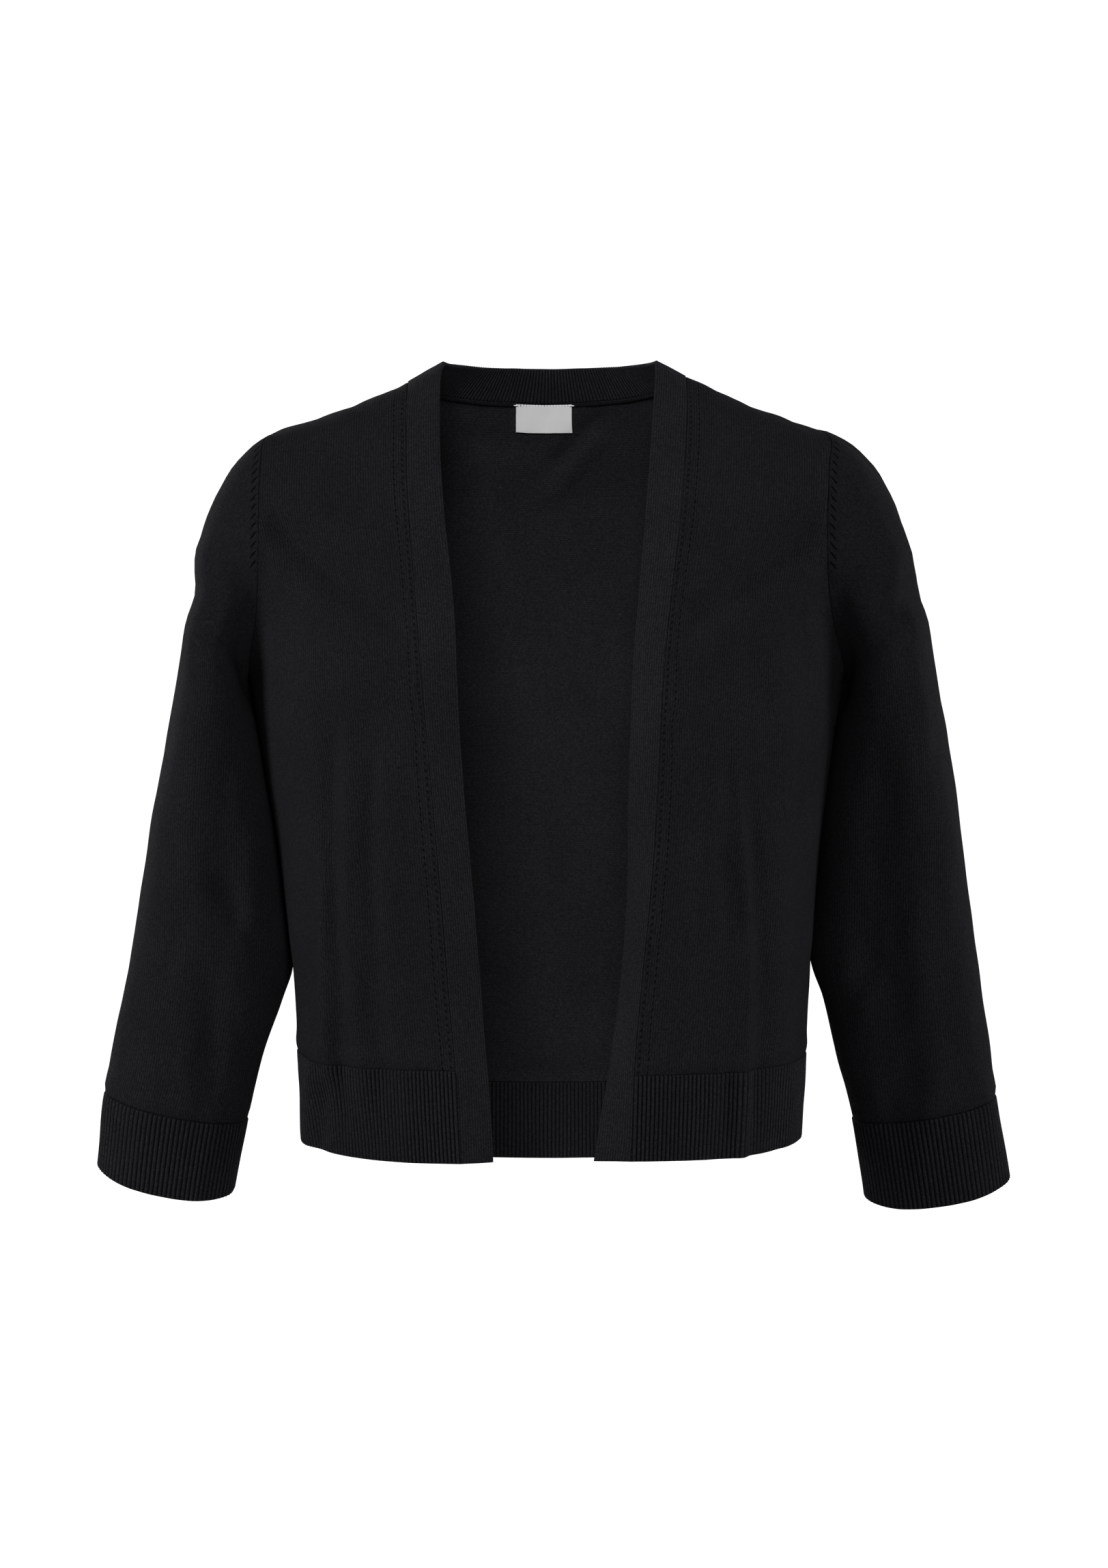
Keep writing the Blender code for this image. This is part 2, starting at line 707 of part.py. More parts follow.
def wall_faces(rows, outer_cols, inner_cols, steps, wrap):
    """Faces of a closed wall between an outer and an inner grid."""
    base = rows * outer_cols
    reach = inner_cols if wrap else inner_cols - 1

    def outer(i, j):
        return i * outer_cols + j % outer_cols

    def inner(i, j):
        return base + i * inner_cols + j % inner_cols

    faces = []
    for i in range(rows - 1):
        for j in range(outer_cols if wrap else outer_cols - 1):
            faces.append((outer(i, j), outer(i, j + 1), outer(i + 1, j + 1), outer(i + 1, j)))
        for j in range(reach):
            faces.append((inner(i, j), inner(i + 1, j), inner(i + 1, j + 1), inner(i, j + 1)))
    for i, forward in ((0, True), (rows - 1, False)):
        place = 0
        for j in range(reach):
            count = steps[j]
            middle = (count + 1) // 2
            loops = []
            if count == 1:
                loops.append((outer(i, place), outer(i, place + 1), inner(i, j + 1), inner(i, j)))
            else:
                for step in range(count):
                    near = inner(i, j) if step < middle else inner(i, j + 1)
                    loops.append((outer(i, place + step), outer(i, place + step + 1), near))
                loops.append((outer(i, place + middle), inner(i, j + 1), inner(i, j)))
            faces.extend(loop[::-1] if forward else loop for loop in loops)
            place += count
    if not wrap:
        for j_out, j_in, forward in ((0, 0, True), (outer_cols - 1, inner_cols - 1, False)):
            for i in range(rows - 1):
                loop = (outer(i, j_out), outer(i + 1, j_out), inner(i + 1, j_in), inner(i, j_in))
                faces.append(loop[::-1] if forward else loop)
    return faces


def add_object(name, points, faces, material, collection):
    """Make a mesh object from points in millimetres."""
    mesh = bpy.data.meshes.new(name)
    mesh.from_pydata([tuple(point * MM) for point in points], [], faces)
    mesh.update()
    shape = bmesh.new()
    shape.from_mesh(mesh)
    bmesh.ops.recalc_face_normals(shape, faces=shape.faces)
    shape.to_mesh(mesh)
    shape.free()
    mesh.materials.append(material)
    thing = bpy.data.objects.new(name, mesh)
    collection.objects.link(thing)
    return thing


def add_wall(name, grid, shared, thickness, seams, material, collection, wrap=False):
    """Plain wall of one cloth piece."""
    normal, stretch = shared.normals(grid)
    outer = inset(grid, normal, seams, wrap)
    inner = outer - normal * (stretch * thickness)[..., None]
    rows, cols = grid.shape[:2]
    steps = [1] * cols
    faces = wall_faces(rows, cols, cols, steps, wrap)
    points = np.concatenate([outer.reshape(-1, 3), inner.reshape(-1, 3)])
    return add_object(name, points, faces, material, collection)


def add_rib_wall(name, grid, shared, ribs, seams, material, collection, wrap=False, both=False):
    """Ribbed wall: ribs raised in its outer points over a plain inside."""
    normal, stretch = shared.normals(grid)
    outer = inset(grid, normal, seams, wrap)
    inner = outer - normal * (stretch * RIB_WALL)[..., None]
    fine, steps = finer_columns(outer, ribs, wrap)
    fine_normal = unit(finer_columns(normal, ribs, wrap)[0])
    crest = (np.arange(fine.shape[1]) % 2)[None, :, None]
    fine = fine + fine_normal * RIB_RISE * crest
    rows = grid.shape[0]
    if both:
        inner = finer_columns(inner, ribs, wrap)[0] - fine_normal * RIB_RISE * (1 - crest)
        steps = [1] * sum(steps)
    faces = wall_faces(rows, fine.shape[1], inner.shape[1], steps, wrap)
    points = np.concatenate([fine.reshape(-1, 3), inner.reshape(-1, 3)])
    return add_object(name, points, faces, material, collection)


def label_grid():
    """Face of the label that lies along the inside of the back panel, with its normals."""
    rows = np.linspace(LABEL_LOW_ROW, LABEL_TOP_ROW, LABEL_ROWS + 1)
    across = np.linspace(LABEL_LEFT, LABEL_RIGHT, LABEL_COLUMNS + 1)
    grid = []
    for row in rows:
        line = back_middle_row(row)
        order = np.argsort(line[:, 0])
        places = [np.interp(across, line[order, 0], line[order, k]) for k in range(3)]
        grid.append(np.stack(places, axis=1))
    grid = np.array(grid)
    normal = grid_normals(grid, -1.0)
    return grid - normal * (PANEL_WALL + LABEL_CLEARANCE), normal


def cloth_material(name, colour, roughness):
    """Plain cloth material."""
    material = bpy.data.materials.new(name)
    material.use_nodes = True
    shader = material.node_tree.nodes["Principled BSDF"]
    shader.inputs["Base Color"].default_value = colour
    shader.inputs["Roughness"].default_value = roughness
    shader.inputs["Metallic"].default_value = 0.0
    material.diffuse_color = colour
    return material


def clear_scene():
    """Remove whatever the scene starts with."""
    for thing in list(bpy.data.objects):
        bpy.data.objects.remove(thing)


def main():
    """Build every piece of the cardigan."""
    clear_scene()
    scene = bpy.context.scene
    scene.unit_settings.system = "METRIC"
    scene.unit_settings.scale_length = 1.0
    collection = bpy.data.collections.new(OBJECT_NAME)
    scene.collection.children.link(collection)

    rows = body_rows()
    rib = rows.index(float(RIB_ROW))
    fronts = {side: front_grid(side) for side in SIDES}
    back = back_grid()
    bands = {side: band_grid(side) for side in SIDES}
    sleeves = {side: sleeve_grid(side) for side in SIDES}
    neckline = back[-1, FRONT_COLUMNS : FRONT_COLUMNS + NECK_COLUMNS + 1]
    neck = neck_grid(neckline)

    shared = Surface()
    for side, sign in SIDES.items():
        shared.add(fronts[side], -sign, False)
        shared.add(bands[side], -sign, False)
        shared.add(sleeves[side], -sign, True)
    shared.add(back, -1.0, False)
    shared.add(neck, -1.0, False)

    knit = cloth_material("black_fine_knit", KNIT_BLACK, CLOTH_ROUGHNESS)
    ribbing = cloth_material("black_rib_knit", RIB_BLACK, CLOTH_ROUGHNESS)
    band_knit = cloth_material("black_band_knit", BAND_BLACK, CLOTH_ROUGHNESS)
    satin = cloth_material("white_label_satin", LABEL_WHITE, SATIN_ROUGHNESS)

    cuff = CAP_RINGS + SLEEVE_PATH.index(float(SLEEVE_RIB_ROW))
    for side in SIDES:
        front = fronts[side]
        seams = ("start", "end", "low", "top")
        add_wall("front_" + side, front[rib:], shared, PANEL_WALL, seams, knit, collection)
        add_rib_wall(
            "hem_rib_" + side,
            front[: rib + 1],
            shared,
            FRONT_RIBS,
            ("start", "end", "top"),
            ribbing,
            collection,
        )
        add_wall(
            "band_" + side,
            bands[side],
            shared,
            BAND_WALL,
            ("start", "top"),
            band_knit,
            collection,
        )
        sleeve = sleeves[side]
        add_wall(
            "sleeve_" + side,
            sleeve[: cuff + 1],
            shared,
            PANEL_WALL,
            ("low", "top"),
            knit,
            collection,
            wrap=True,
        )
        add_rib_wall(
            "cuff_" + side,
            sleeve[cuff:],
            shared,
            CUFF_RIBS,
            ("low",),
            ribbing,
            collection,
            wrap=True,
        )

    add_wall("back", back[rib:], shared, PANEL_WALL, ("start", "end", "low", "top"), knit, collection)
    sides = [BACK_SIDE_RIBS] * FRONT_COLUMNS
    back_ribs = sides + [BACK_MIDDLE_RIBS] * NECK_COLUMNS + sides
    seams = ("start", "end", "top")
    add_rib_wall("hem_rib_back", back[: rib + 1], shared, back_ribs, seams, ribbing, collection)
    seams = ("start", "end", "low")
    add_rib_wall("neck_rib", neck, shared, NECK_RIBS, seams, ribbing, collection, both=True)

    seat, seat_normal = label_grid()
    rows, cols = seat.shape[:2]
    faces = wall_faces(rows, cols, cols, [1] * cols, False)
    under = seat - seat_normal * LABEL_WALL
    points = np.concatenate([seat.reshape(-1, 3), under.reshape(-1, 3)])
    add_object("label", points, faces, satin, collection)


main()
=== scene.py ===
"""Knitted surfaces, ribs, seams, label, light and camera for the cropped cardigan.

The cut repeats the part's tables, in millimetres, on finer rows and columns.
"""

import math

import bmesh
import bpy
import numpy as np
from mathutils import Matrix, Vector


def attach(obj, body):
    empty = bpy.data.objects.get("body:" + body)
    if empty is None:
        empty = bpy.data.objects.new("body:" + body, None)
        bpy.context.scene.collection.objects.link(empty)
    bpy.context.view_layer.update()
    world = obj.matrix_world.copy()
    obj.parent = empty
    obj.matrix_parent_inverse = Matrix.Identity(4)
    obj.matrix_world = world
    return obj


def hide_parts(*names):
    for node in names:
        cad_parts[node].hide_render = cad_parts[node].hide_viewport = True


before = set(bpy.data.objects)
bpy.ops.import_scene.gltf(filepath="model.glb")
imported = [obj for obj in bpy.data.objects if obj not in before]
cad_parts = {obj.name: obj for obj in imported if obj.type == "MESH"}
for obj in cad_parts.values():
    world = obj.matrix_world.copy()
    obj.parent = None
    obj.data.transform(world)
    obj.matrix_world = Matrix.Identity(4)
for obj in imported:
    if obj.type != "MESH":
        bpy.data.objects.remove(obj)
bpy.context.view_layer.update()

MM = 0.001
TURN = 2 * math.pi
SIDES = {"left": -1.0, "right": 1.0}


def columns(names, *rows):
    """Turn rows of numbers under a line of names into arrays by name."""
    return {name: np.array(values) for name, values in zip(names.split(), zip(*rows))}


# ---- cut ----
PANEL_WALL = 1.5
RIB_WALL = 1.6
BAND_WALL = 2.2
BAND_BOW = 0.12
LABEL_WALL = 0.7
LABEL_CLEARANCE = 0.5
# Lines close to a wall's border, in shares of a grid step
EDGE_SHARES = (0.0, 0.12, 0.3, 0.55)

# Grid counts of the part, and the fine steps in one step of them
FRONT_COLUMNS = 12
NECK_COLUMNS = 14
ARMHOLE_STEPS = 14
CAP_RINGS = 7
ARC_SAMPLES = 240
RING_SAMPLES = 900
FINE = 5
FINE_LOWER = 12
FINE_CAP = 4
FINE_SLEEVE = 8
BAND_FINE_COLUMNS = 10
NECK_FINE_ROWS = 8

# Reach of the row curves' handles, in shares of the span
SEAM_REACH = 0.40
FRONT_EDGE_REACH = 0.50
NECK_REACH = 0.42
MIDDLE_REACH = 0.46
MIDDLE_DROP = 0.6
SIDE_RISE = 0.15
CAP_REACH = 0.31
# Rows that are evened out round the underarm level
EASE_FIRST_ROW = 7.0
EASE_ROWS_FROM_TOP = 7
EASE_PASSES = 4

# Ribs in one column of the part's grid, points in one rib, and its section
RIBS = {"front": 5, "back_side": 4, "back_middle": 5, "neck": 7, "cuff": 3}
RIB_POINTS = 6
RIB_RISE = 0.8
RIB_ROUND = 0.75
RIB_BACK = 0.35

# Roll of linked loops inside the neck seam: steps a loop, sides, swell, and its sizes
ROLL_STEPS = 8
ROLL_SIDES = 8
ROLL_SWELL = 0.22
ROLL_DEPTH = 1.25
ROLL_DROP = 1.5
ROLL_SIZES = {"rise": 0.8, "width": 1.3, "pitch": 2.0}
ROLL_ENDS = 3
ROLL_TIP = 0.05
# Stitches that hold the label's upper corners
TACK_LENGTH = 1.7
TACK_POINTS = 9
TACK_DROP = 0.8
TACK_SIZES = {"rise": 0.3, "width": 0.45, "pitch": 0.8}

NECK_X = {"left": 93.7, "right": 90.2}
NECK_RIB_MIDDLE = (0.0, 58.0, 0.4)
NECK_RIB_TURN = 76.0
LABEL_ACROSS = (-23.0, 15.2)
LABEL_ROWS = (17.32, 18.93)
LABEL_POINTS = (25, 15)

# Rows of the tables run from the hem to the shoulder
RIB_ROW = 2
UNDERARM_ROW = 9
SHOULDER_ROW = 19
SLEEVE_RIB_ROW = 7
SLEEVE_LAST_ROW = 8

SEAM = columns(
    "left_x right_x y left_z right_z turn",
    (161.2, 165.6, -4, -509.5, -508.5, 90),
    (163.4, 167.4, -4, -482, -483, 90),
    (165.2, 168.4, -5, -453, -455, 90),
    (167.0, 169.6, -5, -427, -427, 90),
    (168.3, 171.3, -6, -399, -399, 90),
    (173.0, 174.0, -6, -357, -357, 90),
    (178.3, 177.2, -6, -318, -318, 90),
    (184.2, 181.0, -6, -279, -279, 90),
    (191.0, 186.2, -5, -245, -245, 90),
    (197.5, 192.5, -2, -213, -212, 88),
    (197.5, 193.0, -15, -206, -204, 70),
    (195.0, 189.0, -28, -192, -190, 54),
    (191.0, 184.0, -39, -173, -172, 42),
    (188.8, 180.5, -46, -150, -149, 34),
    (188.4, 180.0, -48, -124, -124, 26),
    (188.6, 180.6, -44, -97, -97, 16),
    (188.4, 182.0, -35, -73, -72, 9),
    (187.0, 184.0, -23, -56, -56, 4),
    (181.5, 180.5, -9, -48.5, -49, 1),
    (176.0, 176.5, 4, -45.5, -45.5, 0),
)
EDGE = columns(
    "left_x right_x y left_z right_z turn dip",
    (56.7, 52.3, -97, -520.8, -519.2, 6, -5),
    (58.2, 53.1, -98, -491, -490, 6, -4),
    (59.6, 53.8, -99, -461.5, -464.5, 6, -4),
    (62.0, 55.8, -101, -434, -436, 6, -2),
    (64.6, 58.6, -103, -405, -406, 6, 0),
    (67.7, 62.6, -105, -365, -365, 6, 0),
    (70.7, 65.9, -107, -328, -328, 6, 0),
    (73.8, 68.3, -108, -292, -292, 7, 0),
    (76.4, 69.8, -109, -262, -262, 8, 0),
    (78.9, 71.0, -108, -235, -235, 9, 0),
    (80.4, 71.8, -106, -220, -220, 10, 0),
    (82.0, 73.2, -103, -202, -202, 10, 0),
    (84.0, 75.6, -96, -177, -177, 10, 0),
    (86.6, 79.4, -87, -147, -147, 9, 0),
    (90.0, 84.0, -73, -112, -111, 8, 0),
    (92.4, 87.4, -56, -76, -75, 6, 0),
    (93.2, 89.2, -40, -46.5, -45, 4, -0.6),
    (93.5, 89.8, -26, -28, -25.5, 2, -1.2),
    (93.6, 90.1, -13, -18.5, -15, 1, -1.8),
    (93.7, 90.2, 0, -14.8, -11, 0, -2.0),
)
BAND = columns(
    "left_x right_x left_back right_back left_rise right_rise",
    (35.6, 28, 8, 1.5, 0.5, 0.5),
    (37, 32.6, 8.5, 11, 0.5, 0.5),
    (39.1, 37.2, 9.5, 15.5, 0, 0),
    (41.5, 41.3, 9.5, 18, 0, 0),
    (43.6, 44.6, 9.5, 18.5, 0, 0),
    (46.7, 47.8, 9.5, 18, 0, 0),
    (49.9, 49.3, 9.5, 16.5, 0, 0),
    (53.2, 49.9, 9.5, 15, 0, 0),
    (55.8, 50.6, 9, 14, 0, 0),
    (57.3, 51.4, 7.5, 13.5, 0, 0),
    (58, 52.2, 6.5, 13.5, 0, 0),
    (58.6, 53.2, 5, 13, 0, 0),
    (59.8, 55.2, 3.5, 11.5, 0, 0),
    (62.6, 57.8, 3.5, 9, 0.5, 0.5),
    (67, 61, 4.5, 6, 2, 1.5),
    (70.2, 64.4, 5, 5, 4.5, 3.5),
    (71.3, 67, 4.5, 4.5, 7.5, 6),
    (71.5, 68.8, 4, 4, 10.5, 8.5),
    (70.6, 69.6, 3.5, 3.5, 12.8, 10.2),
    (69.6, 70, 3, 3, 14, 11),
)
REAR_SEAM = columns(
    "left_x right_x y left_z right_z turn",
    (197.5, 192.5, -2, -213, -212, 88),
    (197.5, 193.0, 14, -206, -204, 72),
    (195.0, 190.0, 31, -192, -190, 58),
    (191.5, 186.0, 43, -173, -172, 46),
    (189.0, 183.5, 50, -150, -149, 38),
    (188.4, 183.0, 53, -124, -124, 30),
    (188.4, 183.0, 50, -98, -98, 20),
    (188.0, 183.5, 42, -75, -74, 12),
    (186.0, 183.5, 30, -58, -58, 6),
    (181.5, 180.5, 17, -49, -49, 2),
    (176.0, 176.5, 4, -45.5, -45.5, 0),
)
REAR = columns(
    "neck_y left_z right_z neck_turn mid_turn mid_y mid_z",
    (73, -531, -531, 16, 16, 85, -534),
    (77, -506, -506, 16, 16, 89, -508),
    (80, -480, -480, 16, 16, 92, -483),
    (80, -449, -449, 16, 16, 92, -451),
    (79, -417, -417, 16, 16, 91, -419),
    (78, -374, -374, 16, 16, 90, -375),
    (78, -332, -332, 16, 16, 90, -333),
    (80, -293, -293, 16, 16, 91, -294),
    (83, -257, -257, 15, 15, 94, -258),
    (87, -222, -222, 14, 14, 97, -222),
    (90, -207, -207, 13, 13, 99, -207),
    (92, -190, -190, 12, 12, 100, -190),
    (92, -169, -169, 12, 12, 100, -169),
    (89, -143, -143, 11, 12, 98, -143),
    (82, -113, -113, 9, 13, 93, -114),
    (70, -82, -81, 6, 17, 86, -86),
    (54, -56, -54, 3, 26, 79, -64),
    (37, -35.5, -32.5, 1, 40, 73, -46),
    (18, -20.5, -17.5, 0, 60, 68, -33),
    (0, -14.8, -11, 0, 78, 64, -22.5),
)
SLEEVE = columns(
    "left_z right_z left_x right_x y left_half right_half half_y square left_slope right_slope lean dip",
    (-236, -236, 220.4, 222.9, 4, 27.5, 34.9, 58, 2.5, 0.16, 0.14, 0, 0),
    (-262, -262, 220.4, 223.1, 6, 32.8, 39.4, 56, 2.5, 0.17, 0.15, 0, 0),
    (-300, -300, 220.8, 224.2, 9, 40, 44.9, 52, 2.5, 0.18, 0.15, 0, 0),
    (-360, -360, 221.4, 225.7, 10, 48.9, 51.4, 44, 2.5, 0.20, 0.16, 0, 0),
    (-389, -386, 222.4, 226.8, 10, 52.5, 53.9, 40, 2.4, 0.20, 0.16, 0, 0.5),
    (-414, -414, 228.2, 232.9, 9, 51, 51.8, 37, 2.4, 0.20, 0.16, 0.5, 1),
    (-450, -450, 237.8, 239.5, 8, 48.5, 50.2, 34, 2.4, 0.20, 0.16, 1.5, 2),
    (-491, -492, 246.7, 247.6, 8, 46.9, 47.5, 32, 2.4, 0.20, 0.16, 3, 3.5),
    (-538.6, -545, 253.9, 256.3, 9, 44.9, 47.4, 30, 2.4, 0.195, 0.145, 5, 6),
)
# Direction in which the cap leaves the armhole, by share of the way down from the shoulder
LEAVING = columns(
    "share left_out right_out back left_down right_down",
    (0.00, 0.06, 0.02, 0.04, 1.00, 1.00),
    (0.07, 0.55, 0.52, 0.00, 0.80, 0.80),
    (0.15, 0.86, 0.86, -0.10, 0.48, 0.48),
    (0.35, 0.94, 0.94, 0.10, 0.32, 0.32),
    (0.60, 0.88, 0.90, 0.16, 0.45, 0.42),
    (0.80, 0.86, 0.91, 0.14, 0.48, 0.38),
    (0.92, 0.89, 0.94, 0.06, 0.44, 0.32),
    (1.00, 0.96, 0.99, 0.00, 0.28, 0.14),
)

# Large folds: upper x and z, lower x and z, width, height
FOLD_FADE = 32.0
FRONT_FOLDS = {
    "left": (
        (142, -335, 142, -462, 12, 3.5),
        (122, -275, 124, -400, 12, 2.5),
        (106, -285, 110, -372, 10, 1.8),
        (148, -445, 154, -505, 8, 1.8),
    ),
    "right": (
        (118, -392, 120, -530, 10, 4.0),
        (142, -330, 146, -430, 13, 2.2),
        (100, -262, 100, -350, 12, 1.8),
    ),
}
BACK_FOLDS = {
    "left": (
        (118, -300, 128, -440, 14, 2.6),
        (40, -250, 30, -380, 16, 1.6),
    ),
    "right": (
        (112, -330, 118, -520, 13, 3.0),
    ),
}

# Small folds and drag lines that the solids leave out, in the front view:
# ends x1 z1 and x2 z2, width, height, which is below 0 in a trough
CREASE_BEND = 0.025
CREASE_TAIL = 0.35
CREASE_HOLLOW = 0.35
CREASE_SPREAD = 5.0
SOFT_CREASES = {
    "front_left": (
        (180, -110, 98, -178, 10, -6.4),
        (176, -138, 100, -202, 12, 3.2),
        (157, -196, 148, -330, 10, 1.6),
        (137, -262, 133, -400, 6, -3.4),
        (128, -250, 119, -462, 7, 3.8),
        (112, -262, 109, -380, 6, -2.8),
        (98, -280, 100, -430, 8, 1.8),
        (158, -330, 153, -455, 7, -3.0),
        (143, -340, 142, -470, 5, 3.2),
        (132, -400, 131, -500, 5, -2.4),
        (150, -440, 158, -516, 5, 2.6),
        (141, -468, 148, -516, 6, -2.2),
        (104, -380, 100, -505, 9, -1.0),
    ),
    "front_right": (
        (172, -112, 88, -174, 10, -6.4),
        (172, -142, 94, -200, 12, 3.2),
        (119, -280, 122, -532, 3.6, 2.8),
        (129, -300, 131, -505, 6, -3.0),
        (110, -320, 113, -505, 6, -2.6),
        (150, -280, 148, -440, 9, 2.2),
        (165, -190, 158, -330, 9, -2.2),
        (96, -250, 94, -380, 10, 1.0),
        (82, -330, 80, -470, 8, -0.8),
        (152, -450, 154, -510, 7, 1.4),
    ),
    "back_left": (
        (70, -40, 10, -52, 8, 1.2),
        (60, -70, 30, -150, 16, -1.4),
        (184, -196, 110, -262, 13, -2.4),
        (176, -150, 110, -170, 13, -1.6),
        (150, -300, 146, -460, 12, -2.4),
        (84, -280, 92, -470, 10, -2.0),
        (8, -300, 2, -500, 11, -1.6),
        (48, -340, 52, -510, 9, 1.6),
    ),
    "back_right": (
        (34, -30, 4, -62, 7, 2.6),
        (30, -46, -2, -84, 7, -3.2),
        (40, -110, 60, -190, 16, 1.4),
        (184, -196, 110, -262, 13, -2.4),
        (176, -150, 110, -170, 13, -1.6),
        (144, -320, 148, -480, 12, -2.2),
        (76, -300, 84, -500, 10, -2.0),
        (26, -240, 34, -420, 14, 1.8),
    ),
    "sleeve_front_left": (
        (228, -126, 202, -164, 9, 3.0),
        (236, -150, 204, -196, 11, -5.0),
        (208, -206, 206, -362, 15, -3.0),
        (228, -240, 232, -350, 14, 1.4),
        (193, -318, 194, -370, 8, 2.2),
        (214, -346, 184, -392, 8, -3.0),
        (232, -372, 200, -420, 10, 1.6),
        (217, -404, 222, -486, 10, -2.6),
        (240, -400, 244, -500, 12, 1.4),
        (262, -330, 276, -470, 10, -1.0),
    ),
    "sleeve_front_right": (
        (230, -128, 198, -166, 9, 3.0),
        (238, -154, 202, -200, 12, -5.5),
        (206, -214, 210, -400, 22, -6.0),
        (232, -236, 240, -380, 13, 1.8),
        (212, -392, 190, -424, 9, -2.0),
        (218, -400, 226, -505, 16, -4.0),
        (246, -400, 252, -500, 12, 1.4),
        (266, -330, 282, -470, 10, -1.0),
    ),
    "sleeve_back_left": (
        (232, -140, 204, -190, 10, -2.4),
        (206, -230, 212, -330, 12, -2.4),
        (190, -340, 256, -384, 9, -2.6),
        (196, -380, 262, -410, 9, 2.0),
        (206, -420, 262, -446, 9, -2.0),
    ),
    "sleeve_back_right": (
        (232, -140, 204, -190, 10, -2.4),
        (206, -230, 212, -330, 12, -2.4),
        (190, -336, 258, -380, 9, -2.6),
        (196, -374, 264, -404, 9, 2.0),
        (206, -416, 266, -442, 9, -2.0),
    ),
}
# Depth over which a sleeve's folds change from its front to its back
SLEEVE_TURN = 24.0

# How far body and sleeve swell towards each other under the arm, and where:
# each pair is the start and the end of a ramp
UNDERARM_CLOSE = 0.5
ARM_PIT_CLOSE = 0.25
TOUCH_ACROSS = ((158.0, 168.0), (206.0, 200.0))
TOUCH_MIDDLE = 2.0
TOUCH_DEPTH = (34.0, 22.0)
TOUCH_LEVEL = ((-206.0, -214.0), (-400.0, -380.0))
PIT_LEVEL = ((-216.0, -222.0), (-244.0, -236.0))

# Plain knit that stands over a rib, and the linked line between: height, place, width
RIB_SWELL = (1.0, 7.0, 6.0)
RIB_DIP = (0.5, 0.0, 2.2)

# Distance from an edge over which the large and the small folds die away
EDGE_FADE = 10.0
SEAM_FADE = 14.0

# Slow unevenness of hanging knit: wave length across, wave length along, height, turns
SOFT_WAVES = (
    (46.0, 170.0, 0.45, 0.3, 1.7),
    (27.0, 96.0, 0.28, 2.1, 0.4),
    (15.0, 60.0, 0.13, 4.0, 2.9),
)
SWAY_ACROSS = (1.3, 1.7)
SWAY_DOWN = (0.9, 2.3)
SWAY_DEPTH = 0.6
# Seam points are matched in steps of a fiftieth of a millimetre
KEYS_PER_MM = 50.0
GRID_SIGNS = {
    "front_left": 1.0,
    "front_right": -1.0,
    "band_left": 1.0,
    "band_right": -1.0,
    "sleeve_left": 1.0,
    "sleeve_right": -1.0,
    "back": -1.0,
    "neck": -1.0,
}


# ---- curves ----
def between_rows(values, row):
    """Read a smooth value from a table column between its rows."""
    last = len(values) - 1
    low = min(int(math.floor(row)), last - 1)
    part = row - low
    start, end = values[low], values[low + 1]
    tangent_start = 0.5 * (end - values[max(low - 1, 0)])
    tangent_end = 0.5 * (values[min(low + 2, last)] - start)
    cube = part * part * part
    square = part * part
    return (
        (2 * cube - 3 * square + 1) * start
        + (cube - 2 * square + part) * tangent_start
        + (3 * square - 2 * cube) * end
        + (cube - square) * tangent_end
    )


def read_row(table, row):
    """Read every column of a table at one row."""
    return {name: between_rows(values, row) for name, values in table.items()}


def unit(vector):
    """Give a vector the length one."""
    length = np.linalg.norm(vector, axis=-1, keepdims=True)
    return vector / np.maximum(length, 1e-12)


def along_line(points, axis=0):
    """Distance of each point from the first one along an axis."""
    steps = np.linalg.norm(np.diff(points, axis=axis), axis=-1)
    start = 0.0 * np.take(steps, [0], axis=axis)
    return np.concatenate([start, np.cumsum(steps, axis=axis)], axis=axis)


def border_distance(grid, axis):
    """Distance of each point from the nearer end of an axis."""
    along = along_line(grid, axis)
    return np.minimum(along, np.take(along, [-1], axis=axis) - along)


def read_line(line, places, wanted):
    """Points of a line at the wanted places."""
    return np.stack([np.interp(wanted, places, line[:, k]) for k in range(3)], axis=1)


def ramp(values, start, end):
    """Smooth step from nothing at start to one at end."""
    share = np.clip((values - start) / (end - start), 0.0, 1.0)
    return share * share * (3.0 - 2.0 * share)


def window(values, rise, fall):
    """Share that ramps up and down again."""
    return ramp(values, *rise) * ramp(values, *fall)


def cubic(share, start, start_handle, end_handle, end):
    """Points on a cubic curve between two ends and their handles."""
    rest = 1.0 - share
    return (
        rest**3 * start
        + 3 * rest**2 * share * start_handle
        + 3 * rest * share**2 * end_handle
        + share**3 * end
    )


def curve(start, start_handle, end_handle, end, count):
    """Points on a cubic curve, evenly spaced along its length."""
    share = np.linspace(0.0, 1.0, ARC_SAMPLES)[:, None]
    line = cubic(share, start, start_handle, end_handle, end)
    along = along_line(line)
    points = read_line(line, along, np.linspace(0.0, along[-1], count + 1))
    points[0] = start
    points[-1] = end
    return points


def turned_handle(point, inward, facing, angle, reach):
    """Handle of a curve that leaves a point at an angle to the front view."""
    turn = math.radians(angle)
    return point + np.array([inward * math.cos(turn), facing * math.sin(turn), 0.0]) * reach


